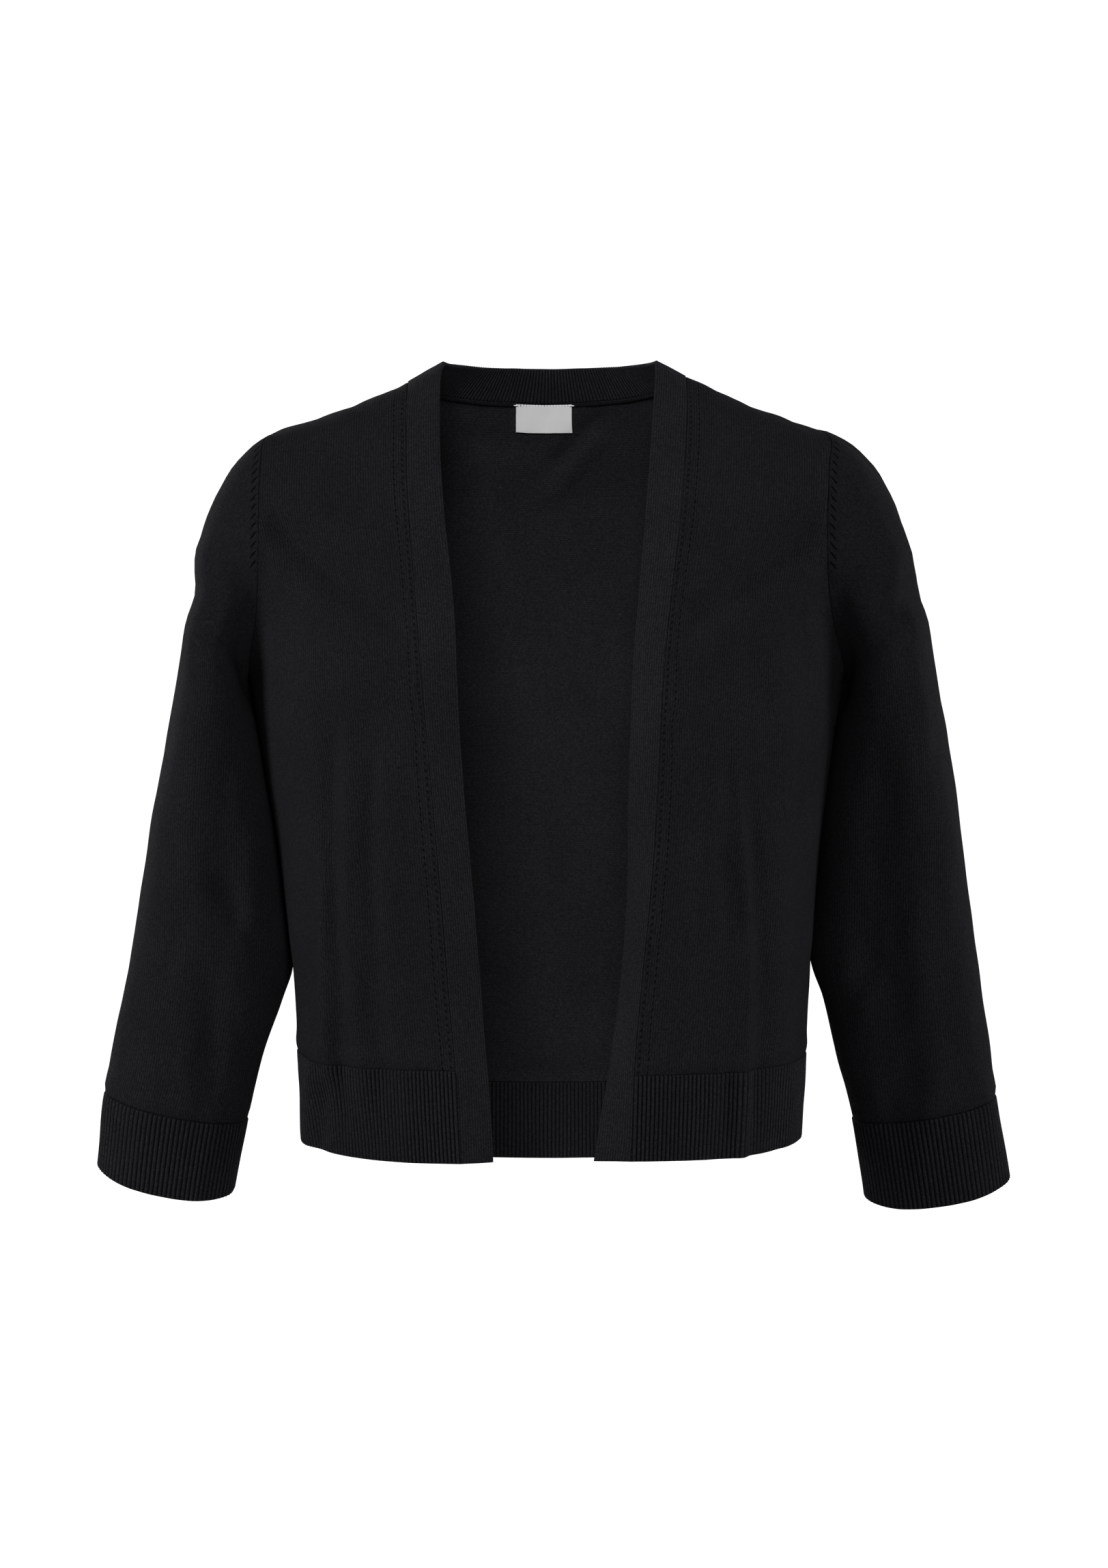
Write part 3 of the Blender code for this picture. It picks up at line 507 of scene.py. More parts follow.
def spline_matrix(knots, wanted):
    """Weights that read a natural cubic spline through the knots at the wanted places."""
    knots = np.asarray(knots, dtype=float)
    count = len(knots)
    gaps = np.diff(knots)
    system = np.zeros((count, count))
    right = np.zeros((count, count))
    system[0, 0] = 1.0
    system[-1, -1] = 1.0
    for i in range(1, count - 1):
        near, far = gaps[i - 1], gaps[i]
        system[i, i - 1 : i + 2] = near, 2.0 * (near + far), far
        right[i, i - 1 : i + 2] = 6.0 / near, -6.0 / near - 6.0 / far, 6.0 / far
    bend = np.linalg.solve(system, right)
    place = np.clip(np.searchsorted(knots, wanted, side="right") - 1, 0, count - 2)
    weights = np.zeros((len(wanted), count))
    for row, (value, low) in enumerate(zip(wanted, place)):
        gap = gaps[low]
        up = (value - knots[low]) / gap
        down = 1.0 - up
        weights[row, low] += down
        weights[row, low + 1] += up
        bends = (down**3 - down) * bend[low] + (up**3 - up) * bend[low + 1]
        weights[row] += bends * gap * gap / 6.0
    return weights


# ---- rows of the body ----
def table_point(side, values):
    """Point that a row of a seam's table gives on one side."""
    return np.array([SIDES[side] * values[side + "_x"], values["y"], values[side + "_z"]])


def seam_point(side, row, rear):
    """Point on the side seam or on one armhole seam, and the turn of the row there."""
    if rear and row > UNDERARM_ROW:
        values = read_row(REAR_SEAM, row - UNDERARM_ROW)
    else:
        values = read_row(SEAM, row)
    return table_point(side, values), values["turn"]


def edge_point(side, row):
    """Point on the seam between a front and its band."""
    return table_point(side, read_row(EDGE, row))


def side_span(side, start, end, turns, edge_reach, facing, dip, count):
    """Part of a row from a side or armhole seam towards the middle."""
    sign = SIDES[side]
    across = abs(start[0] - end[0])
    chord = math.hypot(across, start[1] - end[1])
    first = turned_handle(start, -sign, facing, turns[0], SEAM_REACH * chord)
    second = turned_handle(end, sign, -facing, turns[1], edge_reach * across)
    rise = end[2] - start[2]
    share = max(abs(first[0] - start[0]) / across, SIDE_RISE * math.sin(math.radians(turns[0])))
    first[2] = start[2] + rise * share
    second[2] = end[2] - rise * edge_reach
    points = curve(start, first, second, end, count)
    points[:, 2] += dip * np.sin(np.linspace(0.0, math.pi, count + 1))
    return points


def front_row(side, row, count):
    """One row of a front panel, from its side or armhole seam to its band seam."""
    start, start_turn = seam_point(side, row, False)
    values = read_row(EDGE, row)
    end = table_point(side, values)
    turns = (start_turn, values["turn"])
    return side_span(side, start, end, turns, FRONT_EDGE_REACH, -1.0, values["dip"], count)


def neck_line_point(side, values):
    """Point of a back row on the line under the neck point."""
    return np.array([SIDES[side] * NECK_X[side], values["neck_y"], values[side + "_z"]])


def back_side_row(side, row, count):
    """Back row from the side or armhole seam to the line under the neck point."""
    if row >= SHOULDER_ROW:
        return front_row(side, row, count)
    start, start_turn = seam_point(side, row, True)
    values = read_row(REAR, row)
    turns = (start_turn, values["neck_turn"])
    dip = read_row(EDGE, row)["dip"] if row > UNDERARM_ROW else 0.0
    return side_span(side, start, neck_line_point(side, values), turns, NECK_REACH, 1.0, dip, count)


def middle_row(starts, middle, turn, drop, count):
    """Row over the centre back from a point on the left to one on the right."""
    halves = []
    for side, sign in SIDES.items():
        start = starts[side]
        reach = MIDDLE_REACH * abs(start[0])
        first = turned_handle(start, -sign, 1.0, turn, reach)
        first[2] = start[2] + drop * (middle[2] - start[2])
        second = turned_handle(middle, sign, 0.0, 0.0, reach)
        halves.append(curve(start, first, second, middle, count // 2))
    return np.concatenate([halves[0], halves[1][::-1][1:]])


def back_middle_row(row, count):
    """Back row between the lines under the two neck points."""
    values = read_row(REAR, row)
    starts = {side: neck_line_point(side, values) for side in SIDES}
    middle = np.array([0.0, values["mid_y"], values["mid_z"]])
    return middle_row(starts, middle, values["mid_turn"], MIDDLE_DROP, count)


def band_free_point(side, row):
    """Point on the free edge of a front band."""
    values = read_row(BAND, row)
    seam = edge_point(side, row)
    shift = values[side + "_back"], values[side + "_rise"]
    return np.array([SIDES[side] * values[side + "_x"], seam[1] + shift[0], seam[2] + shift[1]])


def neck_free_row(count):
    """Free top edge of the neck rib, from one band end to the other."""
    starts = {side: band_free_point(side, SHOULDER_ROW) for side in SIDES}
    return middle_row(starts, np.array(NECK_RIB_MIDDLE), NECK_RIB_TURN, 0.0, count)


def fold_height(folds, points):
    """Height of the large folds at points of one half of the body."""
    height = np.zeros(points.shape[:-1])
    for top_x, top_z, low_x, low_z, width, peak in folds:
        share = (top_z - points[..., 2]) / (top_z - low_z)
        line = top_x + (low_x - top_x) * np.clip(share, 0.0, 1.0)
        above = np.clip((points[..., 2] - top_z) / FOLD_FADE, 0.0, 1.0)
        below = np.clip((low_z - points[..., 2]) / FOLD_FADE, 0.0, 1.0)
        fade = np.cos(0.5 * math.pi * np.maximum(above, below)) ** 2
        away = (np.abs(points[..., 0]) - line) / width
        height += peak * fade * np.exp(-away * away)
    return height


def row_places(lower_steps, upper_steps):
    """Rows of the tables that a grid uses, hem to shoulder."""
    lower = np.linspace(0, UNDERARM_ROW, UNDERARM_ROW * lower_steps + 1)
    upper = np.linspace(UNDERARM_ROW, SHOULDER_ROW, ARMHOLE_STEPS * upper_steps + 1)
    return np.concatenate([lower, upper[1:]])


ROWS = row_places(FINE_LOWER, FINE)
# The part's grids have no line at the row next to the hem
COARSE_ROWS = np.delete(row_places(1, 1), 1)
RIB_LINE = RIB_ROW * FINE_LOWER
CUFF_LINE = CAP_RINGS * FINE_CAP + SLEEVE_RIB_ROW * FINE_SLEEVE
NECKLINE = slice(FRONT_COLUMNS * FINE, (FRONT_COLUMNS + NECK_COLUMNS) * FINE + 1)


def easing(grid):
    """How far the part's grid is evened out round the underarm level."""
    first = list(COARSE_ROWS).index(EASE_FIRST_ROW)
    last = len(COARSE_ROWS) - EASE_ROWS_FROM_TOP
    soft = grid.copy()
    for _ in range(EASE_PASSES):
        middle = soft[first:last, 1:-1]
        around = 0.5 * (soft[first - 1 : last - 1, 1:-1] + soft[first + 1 : last + 1, 1:-1])
        soft[first:last, 1:-1] = 0.5 * (middle + around)
    return soft - grid


def with_easing(fine, coarse):
    """Fine grid with the part's easing, read smoothly between the part's points."""
    down = spline_matrix(COARSE_ROWS, ROWS)
    last = coarse.shape[1] - 1
    over = spline_matrix(np.arange(last + 1), np.linspace(0, last, fine.shape[1]))
    return fine + np.einsum("ri,ijk,cj->rck", down, easing(coarse), over)


def grid_normals(grid, sign):
    """Normals of a grid by its own rows and columns."""
    return unit(np.cross(np.gradient(grid, axis=1), np.gradient(grid, axis=0))) * sign


def with_folds(grid, height, sign):
    """Grid with its large folds, which die away towards its side edges."""
    fade = np.clip(border_distance(grid, 1) / EDGE_FADE, 0.0, 1.0)
    return grid + grid_normals(grid, sign) * (height * fade)[..., None]


def front_surface(side):
    """Fine surface of one front, hem to shoulder."""
    fine = np.array([front_row(side, row, FRONT_COLUMNS * FINE) for row in ROWS])
    coarse = np.array([front_row(side, row, FRONT_COLUMNS) for row in COARSE_ROWS])
    grid = with_easing(fine, coarse)
    return with_folds(grid, fold_height(FRONT_FOLDS[side], grid), -SIDES[side])


def back_rows(rows, fine):
    """Rows of the back from left to right."""
    found = []
    for row in rows:
        left = back_side_row("left", row, FRONT_COLUMNS * fine)
        middle = back_middle_row(row, NECK_COLUMNS * fine)
        right = back_side_row("right", row, FRONT_COLUMNS * fine)[::-1]
        found.append(np.concatenate([left, middle[1:-1], right]))
    return np.array(found)


def back_surface():
    """Fine surface of the back, hem to shoulder."""
    grid = with_easing(back_rows(ROWS, FINE), back_rows(COARSE_ROWS, 1))
    left, right = (fold_height(BACK_FOLDS[side], grid) for side in SIDES)
    return with_folds(grid, np.where(grid[..., 0] < 0, left, right), -1.0)


def across_band(seam, free, count):
    """Points across a band from its seam to its free edge, slightly bowed."""
    shares = np.linspace(0.0, 1.0, count + 1)
    line = seam + (free - seam) * shares[:, None]
    line[:, 1] -= BAND_BOW * (free[1] - seam[1]) * np.sin(math.pi * shares)
    return line


def band_surface(side):
    """Fine surface of a front band."""
    ends = ((edge_point(side, row), band_free_point(side, row)) for row in ROWS)
    return np.array([across_band(seam, free, BAND_FINE_COLUMNS) for seam, free in ends])


def neck_surface(neckline):
    """Fine surface of the neck rib from the neckline up to its free edge."""
    places = zip(neckline, neck_free_row(len(neckline) - 1))
    lines = np.array([across_band(low, high, NECK_FINE_ROWS) for low, high in places])
    return lines.transpose(1, 0, 2)


def section_ring(side, row, count):
    """One ring of a sleeve, from its inner side over the front to the outer side and round."""
    values = read_row(SLEEVE, row)
    angle = np.linspace(0.0, math.pi, RING_SAMPLES)
    power = 2.0 / values["square"]
    away = -values[side + "_half"] * np.sign(np.cos(angle)) * np.abs(np.cos(angle)) ** power
    depth = values["half_y"] * np.abs(np.sin(angle)) ** power
    along = np.concatenate([[0.0], np.cumsum(np.hypot(np.diff(away), np.diff(depth)))])
    wanted = np.linspace(0.0, along[-1], count // 2 + 1)
    away = np.interp(wanted, along, away)
    depth = np.interp(wanted, along, depth)
    away = np.concatenate([away, away[::-1][1:-1]])
    depth = np.concatenate([-depth, depth[::-1][1:-1]])
    forward = -depth / values["half_y"]
    drop = values["lean"] * forward + values["dip"] * (forward**2)
    x = SIDES[side] * (values[side + "_x"] + away)
    z = values[side + "_z"] + values[side + "_slope"] * away - drop
    return np.stack([x, values["y"] + depth, z], axis=1)


def sleeve_surface(side):
    """Fine surface of a sleeve with its cuff, rolled from the underarm seam round to it again."""
    rows = np.linspace(UNDERARM_ROW, SHOULDER_ROW, ARMHOLE_STEPS * FINE + 1)
    front, rear = ([seam_point(side, row, half)[0] for row in rows] for half in (False, True))
    loop = np.array(front + rear[::-1][1:-1])
    count = len(loop)
    first = section_ring(side, 0.0, count)
    second = section_ring(side, 0.5, count)
    share = np.abs(((np.arange(count) / count) * 2.0 + 1.0) % 2.0 - 1.0)
    facing = np.where(np.arange(count) <= count // 2, 1.0, -1.0)
    names = (side + "_out", "back", side + "_down")
    out, back, down = (np.interp(share, LEAVING["share"], LEAVING[name]) for name in names)
    leave = unit(np.stack([SIDES[side] * out, facing * back, -down], axis=1))
    reach = CAP_REACH * np.linalg.norm(first - loop, axis=1)[:, None]
    handles = (loop + leave * reach, first + unit(first - second) * reach)
    steps = CAP_RINGS * FINE_CAP
    rings = [cubic(step / steps, loop, *handles, first) for step in range(steps)]
    places = np.linspace(0, SLEEVE_LAST_ROW, SLEEVE_LAST_ROW * FINE_SLEEVE + 1)
    rings.extend(section_ring(side, row, count) for row in places)
    grid = np.array(rings)
    return np.concatenate([grid, grid[:, :1]], axis=1)


# ---- soft relief ----
def crease_height(points, part, side):
    """Small folds and troughs at points, read in the front view."""
    height = np.zeros(points.shape[:-1])
    across = points[..., 0] * SIDES[side]
    for x1, z1, x2, z2, width, peak in SOFT_CREASES[part + "_" + side]:
        way = np.array([x2 - x1, z2 - z1], dtype=float)
        length = math.hypot(*way)
        way /= length
        along = (across - x1) * way[0] + (points[..., 2] - z1) * way[1]
        aside = (points[..., 2] - z1) * way[0] - (across - x1) * way[1]
        bend = CREASE_BEND * length * np.sin(math.pi * np.clip(along / length, 0.0, 1.0))
        aside = (aside - bend) / width
        past = np.maximum(-along, along - length) / (CREASE_TAIL * length)
        fade = np.cos(0.5 * math.pi * np.clip(past + CREASE_TAIL, 0.0, 1.0)) ** 2
        hollow = CREASE_HOLLOW * np.exp(-(aside * aside) / CREASE_SPREAD)
        height += peak * fade * (np.exp(-aside * aside) - hollow)
    return height


def wave_height(points):
    """Slow unevenness that hanging knit has, the same on both sides of a seam."""
    x, y, z = points[..., 0], points[..., 1], points[..., 2]
    height = np.zeros(points.shape[:-1])
    for across, down, peak, turn_x, turn_z in SOFT_WAVES:
        sway_x = turn_x + SWAY_ACROSS[0] * np.sin(TURN * z / (SWAY_ACROSS[1] * down))
        sway_z = turn_z + SWAY_DOWN[0] * np.sin(TURN * (x - y) / (SWAY_DOWN[1] * across))
        ripple = peak * np.sin(TURN * (x + SWAY_DEPTH * y) / across + sway_x)
        height += ripple * np.sin(TURN * z / down + sway_z)
    return height


def point_key(point):
    """Name of a place, so that pieces that share it can find each other."""
    return tuple(int(round(value * KEYS_PER_MM)) for value in point)


def area_normals(grid, sign):
    """Area-weighted normals of a grid."""
    faces = np.cross(grid[1:, 1:] - grid[:-1, :-1], grid[1:, :-1] - grid[:-1, 1:]) * sign
    total = np.zeros(grid.shape)
    for rows in (slice(None, -1), slice(1, None)):
        for cols in (slice(None, -1), slice(1, None)):
            total[rows, cols] += faces
    return total


def rim(shape):
    """Places on a grid's border."""
    rows, cols = shape[:2]
    places = [(i, j) for i in (0, rows - 1) for j in range(cols)]
    return places + [(i, j) for i in range(1, rows - 1) for j in (0, cols - 1)]


def all_normals(grids):
    """Normals of every grid, which agree where pieces meet at a seam."""
    totals = {name: area_normals(grid, GRID_SIGNS[name]) for name, grid in grids.items()}
    sums = {}
    for name, grid in grids.items():
        for place in rim(grid.shape):
            key = point_key(grid[place])
            sums[key] = sums.get(key, 0.0) + totals[name][place]
    for name, grid in grids.items():
        for place in rim(grid.shape):
            totals[name][place] = sums[point_key(grid[place])]
    return {name: unit(total) for name, total in totals.items()}


def rib_pull(grid, line):
    """Plain knit that stands a little proud of the rib it is linked to."""
    along = along_line(grid)
    way = along - along[line]
    if line > len(grid) // 2:
        way = -way
    swell, dip = (
        height * np.exp(-(((way - place) / width) ** 2))
        for height, place, width in (RIB_SWELL, RIB_DIP)
    )
    return swell - dip


def underarm_touch(points):
    """Share of the places under the arm where the sleeve lies against the body."""
    side = window(np.abs(points[..., 0]), *TOUCH_ACROSS)
    depth = ramp(np.abs(points[..., 1] - TOUCH_MIDDLE), *TOUCH_DEPTH)
    return side * depth * window(points[..., 2], *TOUCH_LEVEL)


def seam_fade(grid, part):
    """Share that is nothing at a seam and one a centimetre or so inside it."""
    below = along_line(grid)
    seam_side = below if part == "sleeve" else below[-1:] - below
    return ramp(np.minimum(border_distance(grid, 1), seam_side), 0.0, SEAM_FADE)


def relief(name, grid):
    """Height of the small folds on one grid."""
    part, _, side = name.partition("_")
    height = np.zeros(grid.shape[:2])
    if part == "front":
        height += crease_height(grid, "front", side)
    elif part == "back":
        height += crease_height(grid, "back", "left") + crease_height(grid, "back", "right")
    elif part == "sleeve":
        middle = grid[..., 1].mean(axis=1, keepdims=True)
        turn = ramp(0.5 + (grid[..., 1] - middle) / SLEEVE_TURN, 0.0, 1.0)
        height += crease_height(grid, "sleeve_front", side) * (1.0 - turn)
        height += crease_height(grid, "sleeve_back", side) * turn
        height += rib_pull(grid, CUFF_LINE)
    if part in ("front", "back"):
        height += rib_pull(grid, RIB_LINE)
    touch = underarm_touch(grid)
    close = UNDERARM_CLOSE * touch + ARM_PIT_CLOSE * touch * window(grid[..., 2], *PIT_LEVEL)
    return height * seam_fade(grid, part) + wave_height(grid) * (1.0 - touch) + close


def body_surfaces():
    """Every fine surface with its folds and its shared normals."""
    grids = {}
    for side in SIDES:
        grids["front_" + side] = front_surface(side)
        grids["band_" + side] = band_surface(side)
        grids["sleeve_" + side] = sleeve_surface(side)
    grids["back"] = back_surface()
    grids["neck"] = neck_surface(grids["back"][-1, NECKLINE])
    normals = all_normals(grids)
    for name, grid in grids.items():
        grids[name] = grid + normals[name] * relief(name, grid)[..., None]
    return grids, all_normals(grids)


# ---- walls ----
def read_lines(values, places, axis):
    """Read a grid between its lines along one axis, straight between neighbours."""
    low = np.clip(np.floor(places).astype(int), 0, values.shape[axis] - 2)
    shape = [1] * values.ndim
    shape[axis] = len(places)
    part = (places - low).reshape(shape)
    before, after = (np.take(values, line, axis=axis) for line in (low, low + 1))
    return before * (1 - part) + after * part


def edge_lines(count):
    """Places of a wall's lines along one axis of a grid, closer together at both borders."""
    shares = np.array(EDGE_SHARES)
    return np.concatenate([shares, np.arange(1.0, count - 1), count - 1 - shares[::-1]])


def rounding(distance, radius):
    """Share of a wall's half thickness that is left at a distance from its edge."""
    share = np.clip(distance / radius, 0.0, 1.0)
    return np.sqrt(np.maximum(1.0 - (1.0 - share) ** 2, 0.0))


def add_uv(mesh, name, places, faces):
    """Layer of places in millimetres for the material."""
    layer = mesh.uv_layers.new(name=name)
    layer.data.foreach_set("uv", places[faces.ravel()].astype(np.float32).ravel())


def make_mesh(name, points, faces, uvs, kinds):
    """Mesh from arrays in millimetres, shaded smooth."""
    mesh = bpy.data.meshes.new(name)
    mesh.vertices.add(len(points))
    mesh.vertices.foreach_set("co", (points * MM).astype(np.float32).ravel())
    mesh.loops.add(faces.size)
    mesh.loops.foreach_set("vertex_index", faces.astype(np.int32).ravel())
    mesh.polygons.add(len(faces))
    mesh.polygons.foreach_set("loop_start", np.arange(0, faces.size, faces.shape[1], dtype=np.int32))
    mesh.polygons.foreach_set("material_index", kinds.astype(np.int32))
    add_uv(mesh, "cloth_mm", uvs, faces)
    mesh.update(calc_edges=True)
    mesh.validate()
    mesh.shade_smooth()
    return mesh


def wall_mesh(name, outer, inner, uv, slots, inner_shift, seam_uv):
    """Closed wall whose outer and inner faces meet in one line round the border."""
    rows, cols = outer.shape[:2]
    above = np.arange(rows * cols).reshape(rows, cols)
    under = above.copy()
    core = (slice(1, rows - 1), slice(1, cols - 1))
    inner_count = (rows - 2) * (cols - 2)
    under[core] = rows * cols + np.arange(inner_count).reshape(rows - 2, cols - 2)
    top, low = (
        np.stack([n[:-1, :-1], n[:-1, 1:], n[1:, 1:], n[1:, :-1]], axis=-1).reshape(-1, 4)
        for n in (above, under)
    )
    faces = np.concatenate([top, low[:, ::-1]])
    points = np.concatenate([outer.reshape(-1, 3), inner[core].reshape(-1, 3)])
    uvs = np.concatenate([uv.reshape(-1, 2), uv[core].reshape(-1, 2) + (inner_shift, 0.0)])
    mesh = make_mesh(name, points, faces, uvs, np.repeat(slots, len(top)))
    if seam_uv is not None:
        places = np.concatenate([seam_uv.reshape(-1, 2), seam_uv[core].reshape(-1, 2)])
        add_uv(mesh, "seam_mm", places, faces)
    return mesh


def cloth_wall(
    name, grid, normal, sign, thickness, uv, slots, rises=None, inner_shift=0.0, seam_uv=None
):
    """Wall of one cloth piece under its outer surface, with rounded edges."""
    rows, cols = (edge_lines(count) for count in grid.shape[:2])

    def fine(values):
        return read_lines(read_lines(values, rows, 0), cols, 1)

    points = fine(grid)
    facing = unit(fine(normal))
    radius = 0.5 * thickness
    distance = np.minimum(border_distance(points, 0), border_distance(points, 1))
    share = rounding(distance, radius)[..., None]
    border = min(radius, 0.5 * PANEL_WALL)
    core = points - facing * (border + (radius - border) * share)
    rise, dent = (0.0, 0.0) if rises is None else (fine(values[..., None]) for values in rises)
    outer = core + facing * share * (radius + rise)
    inner = core - facing * share * (radius + dent)
    layers = [outer, inner, fine(uv), None if seam_uv is None else fine(seam_uv)]
    if sign > 0:
        layers = [None if layer is None else layer[:, ::-1] for layer in layers]
    outer, inner, flat, seam = layers
    return wall_mesh(name, outer, inner, flat, slots, inner_shift, seam)


def cloth_uv(grid, reference, from_top=False):
    """Distances in millimetres along the rows from a column, and along the columns."""
    u, v = along_line(grid, 1), along_line(grid)
    return np.stack([u - u[:, reference][:, None], v[-1:] - v if from_top else v], axis=-1)


def sleeve_seam_uv(grid):
    """Distance round the armhole from the shoulder, and distance from it along the sleeve."""
    along = along_line(grid[0])
    along = along - along[len(along) // 2]
    return np.stack(np.broadcast_arrays(along[None, :], along_line(grid)), axis=-1)


def seam_roll(name, line, facing, slot, rise, width, pitch):
    """Small roll of linked loops along a seam, standing up from a wall."""
    along = along_line(line)
    places = np.linspace(0.0, along[-1], int(along[-1] * ROLL_STEPS / pitch) + 1)
    centre = read_line(line, along, places)
    out = unit(read_line(facing, along, places))
    aside = np.cross(unit(np.gradient(centre, axis=0)), out)
    beat = 1.0 + ROLL_SWELL * np.cos(TURN * places / pitch)
    size = beat * np.maximum(rounding(np.minimum(places, along[-1] - places), 2.0 * rise), ROLL_TIP)
    angle = np.linspace(0.0, TURN, ROLL_SIDES, endpoint=False)
    high = rise * np.cos(angle)[None, :, None] * out[:, None]
    wide = width * np.sin(angle)[None, :, None] * aside[:, None]
    points = centre[:, None] + size[:, None, None] * (high + wide)
    number = np.arange(len(places) * ROLL_SIDES).reshape(-1, ROLL_SIDES)
    after = np.roll(number, -1, axis=1)
    faces = np.stack([number[:-1], after[:-1], after[1:], number[1:]], axis=-1).reshape(-1, 4)
    uvs = np.stack(np.broadcast_arrays(width * angle[None, :], places[:, None]), axis=-1)
    kinds = np.full(len(faces), slot)
    return make_mesh(name, points.reshape(-1, 3), faces, uvs.reshape(-1, 2), kinds)


def with_parts(mesh, parts):
    """A wall's mesh with the small parts sewn to it, their open ends closed."""
    shape = bmesh.new()
    for piece in (mesh, *parts):
        shape.from_mesh(piece)
    bmesh.ops.holes_fill(shape, edges=[edge for edge in shape.edges if edge.is_boundary], sides=0)
    shape.to_mesh(mesh)
    shape.free()
    for part in parts:
        bpy.data.meshes.remove(part)
    return mesh


def rib_counts(kind):
    """Ribs between neighbouring columns of the part's grid."""
    if kind == "back":
        sides = [RIBS["back_side"]] * FRONT_COLUMNS
        return sides + [RIBS["back_middle"]] * NECK_COLUMNS + sides
    spans = {"front": FRONT_COLUMNS, "neck": NECK_COLUMNS, "cuff": 2 * ARMHOLE_STEPS}
    return [RIBS[kind]] * spans[kind]


def rib_lines(kind):
    """Places of the rib columns on a fine grid, and the rib number at each."""
    counts = rib_counts(kind)
    places = []
    numbers = []
    for column, count in enumerate(counts):
        steps = np.arange(count * RIB_POINTS) / (count * RIB_POINTS)
        places.append((column + steps) * FINE)
        numbers.append(sum(counts[:column]) + steps * count)
    places.append([len(counts) * FINE])
    numbers.append([sum(counts)])
    return np.concatenate(places), np.concatenate(numbers)


def rib_wall(name, kind, grid, normal, sign, slots):
    """Ribbed wall: rounded ribs with narrow valleys on both faces."""
    places, numbers = rib_lines(kind)
    points = read_lines(grid, places, 1)
    facing = unit(read_lines(normal, places, 1))
    crest = 0.5 - 0.5 * np.cos(TURN * numbers)
    full = np.ones(points.shape[:2])
    rise = RIB_RISE * (crest**RIB_ROUND) * full
    back = RIB_RISE * ((1.0 - crest) ** RIB_ROUND) * full - RIB_BACK * RIB_RISE
    down = np.linalg.norm(np.diff(points, axis=0), axis=2).mean(axis=1)
    v = np.concatenate([[0.0], np.cumsum(down)])
    uv = np.stack(np.broadcast_arrays(numbers[None, :], v[:, None]), axis=-1)
    return cloth_wall(name, points, facing, sign, RIB_WALL, uv, slots, (rise, back), 0.5)


# ---- materials ----
BLACK = (0.0132, 0.0132, 0.0150)
SATIN = (0.92, 0.92, 0.93)
# Kinds of knit: loops, wale and course in millimetres, depth of the bump, and strength of the painted
# shade that makes the loops lighter and the gaps between them darker
PLAIN = ("plain", 1.7, 1.3, 0.34, 0.8)
PURL = ("purl", 1.7, 1.3, 0.25, 0.4)
RIB = ("rib", 1.0, 1.35, 0.3, 1.3)
DOUBLE = ("double", 1.65, 1.4, 0.38, 0.9)
# Two rows of small slanted holes beside the band seam
HOLE_LINES = (2.6, 8.4)
HOLE_PITCH = 4.5
HOLE_HALF = (0.5, 1.15)
HOLE_LEAN = 0.28
# Slanted marks along the armhole where the sleeve was narrowed
MARK_REACH = (18.0, 122.0)
MARK_PITCH = 6.3
MARK_AWAY = 4.2
MARK_HALF = (0.95, 2.7)
MARK_LEAN = 0.55
# Strength of the holes' mask, depth of holes and marks in the bump, and how much darker they are
# painted: painted shade inside them
HOLE_SHADE_AND_DEPTH = 0.9
DENT_DEPTH = 1.6
DENT_PAINTED_SHADE = 0.85
# Noises over the yarn: scale and detail
WOBBLE = (190.0, 1.0)
FUZZ = (1300.0, 3.0)
LOOPS = (640.0, 1.0)
CLOUD = (24.0, 4.0)
# Specks of lint: scale, share without one, size and brightness
LINT_SCALE = 62.0
LINT_RARE = 0.9
LINT_SIZE = (0.4, 0.035)
LINT_TONE = 3.5
# Threads of the satin in a millimetre: slanted across, slanted along, straight
SATIN_THREADS = (3.2, 6.4, 3.3)


class Value:
    """Output of a shader node that can be worked with like a number."""

    def __init__(self, nodes, socket):
        self.nodes = nodes
        self.socket = socket

    def math(self, operation, other=None):
        """This value put through a math node."""
        return self.nodes.math(operation, self, other)

    def spread(self, low, high, out_low, out_high):
        """This value put through a Map Range node with smooth ends."""
        node = self.nodes.add("ShaderNodeMapRange", interpolation_type="SMOOTHSTEP")
        self.nodes.fill(node, Value=self, From_Min=low, From_Max=high, To_Min=out_low, To_Max=out_high)
        return Value(self.nodes, node.outputs["Result"])

    def __add__(self, other):
        return self.math("ADD", other)

    def __sub__(self, other):
        return self.math("SUBTRACT", other)

    def __rsub__(self, other):
        return self.nodes.math("SUBTRACT", other, self)

    def __mul__(self, other):
        return self.math("MULTIPLY", other)

    def __truediv__(self, other):
        return self.math("DIVIDE", other)

    def __pow__(self, other):
        return self.math("POWER", other)

    def __abs__(self):
        return self.math("ABSOLUTE")


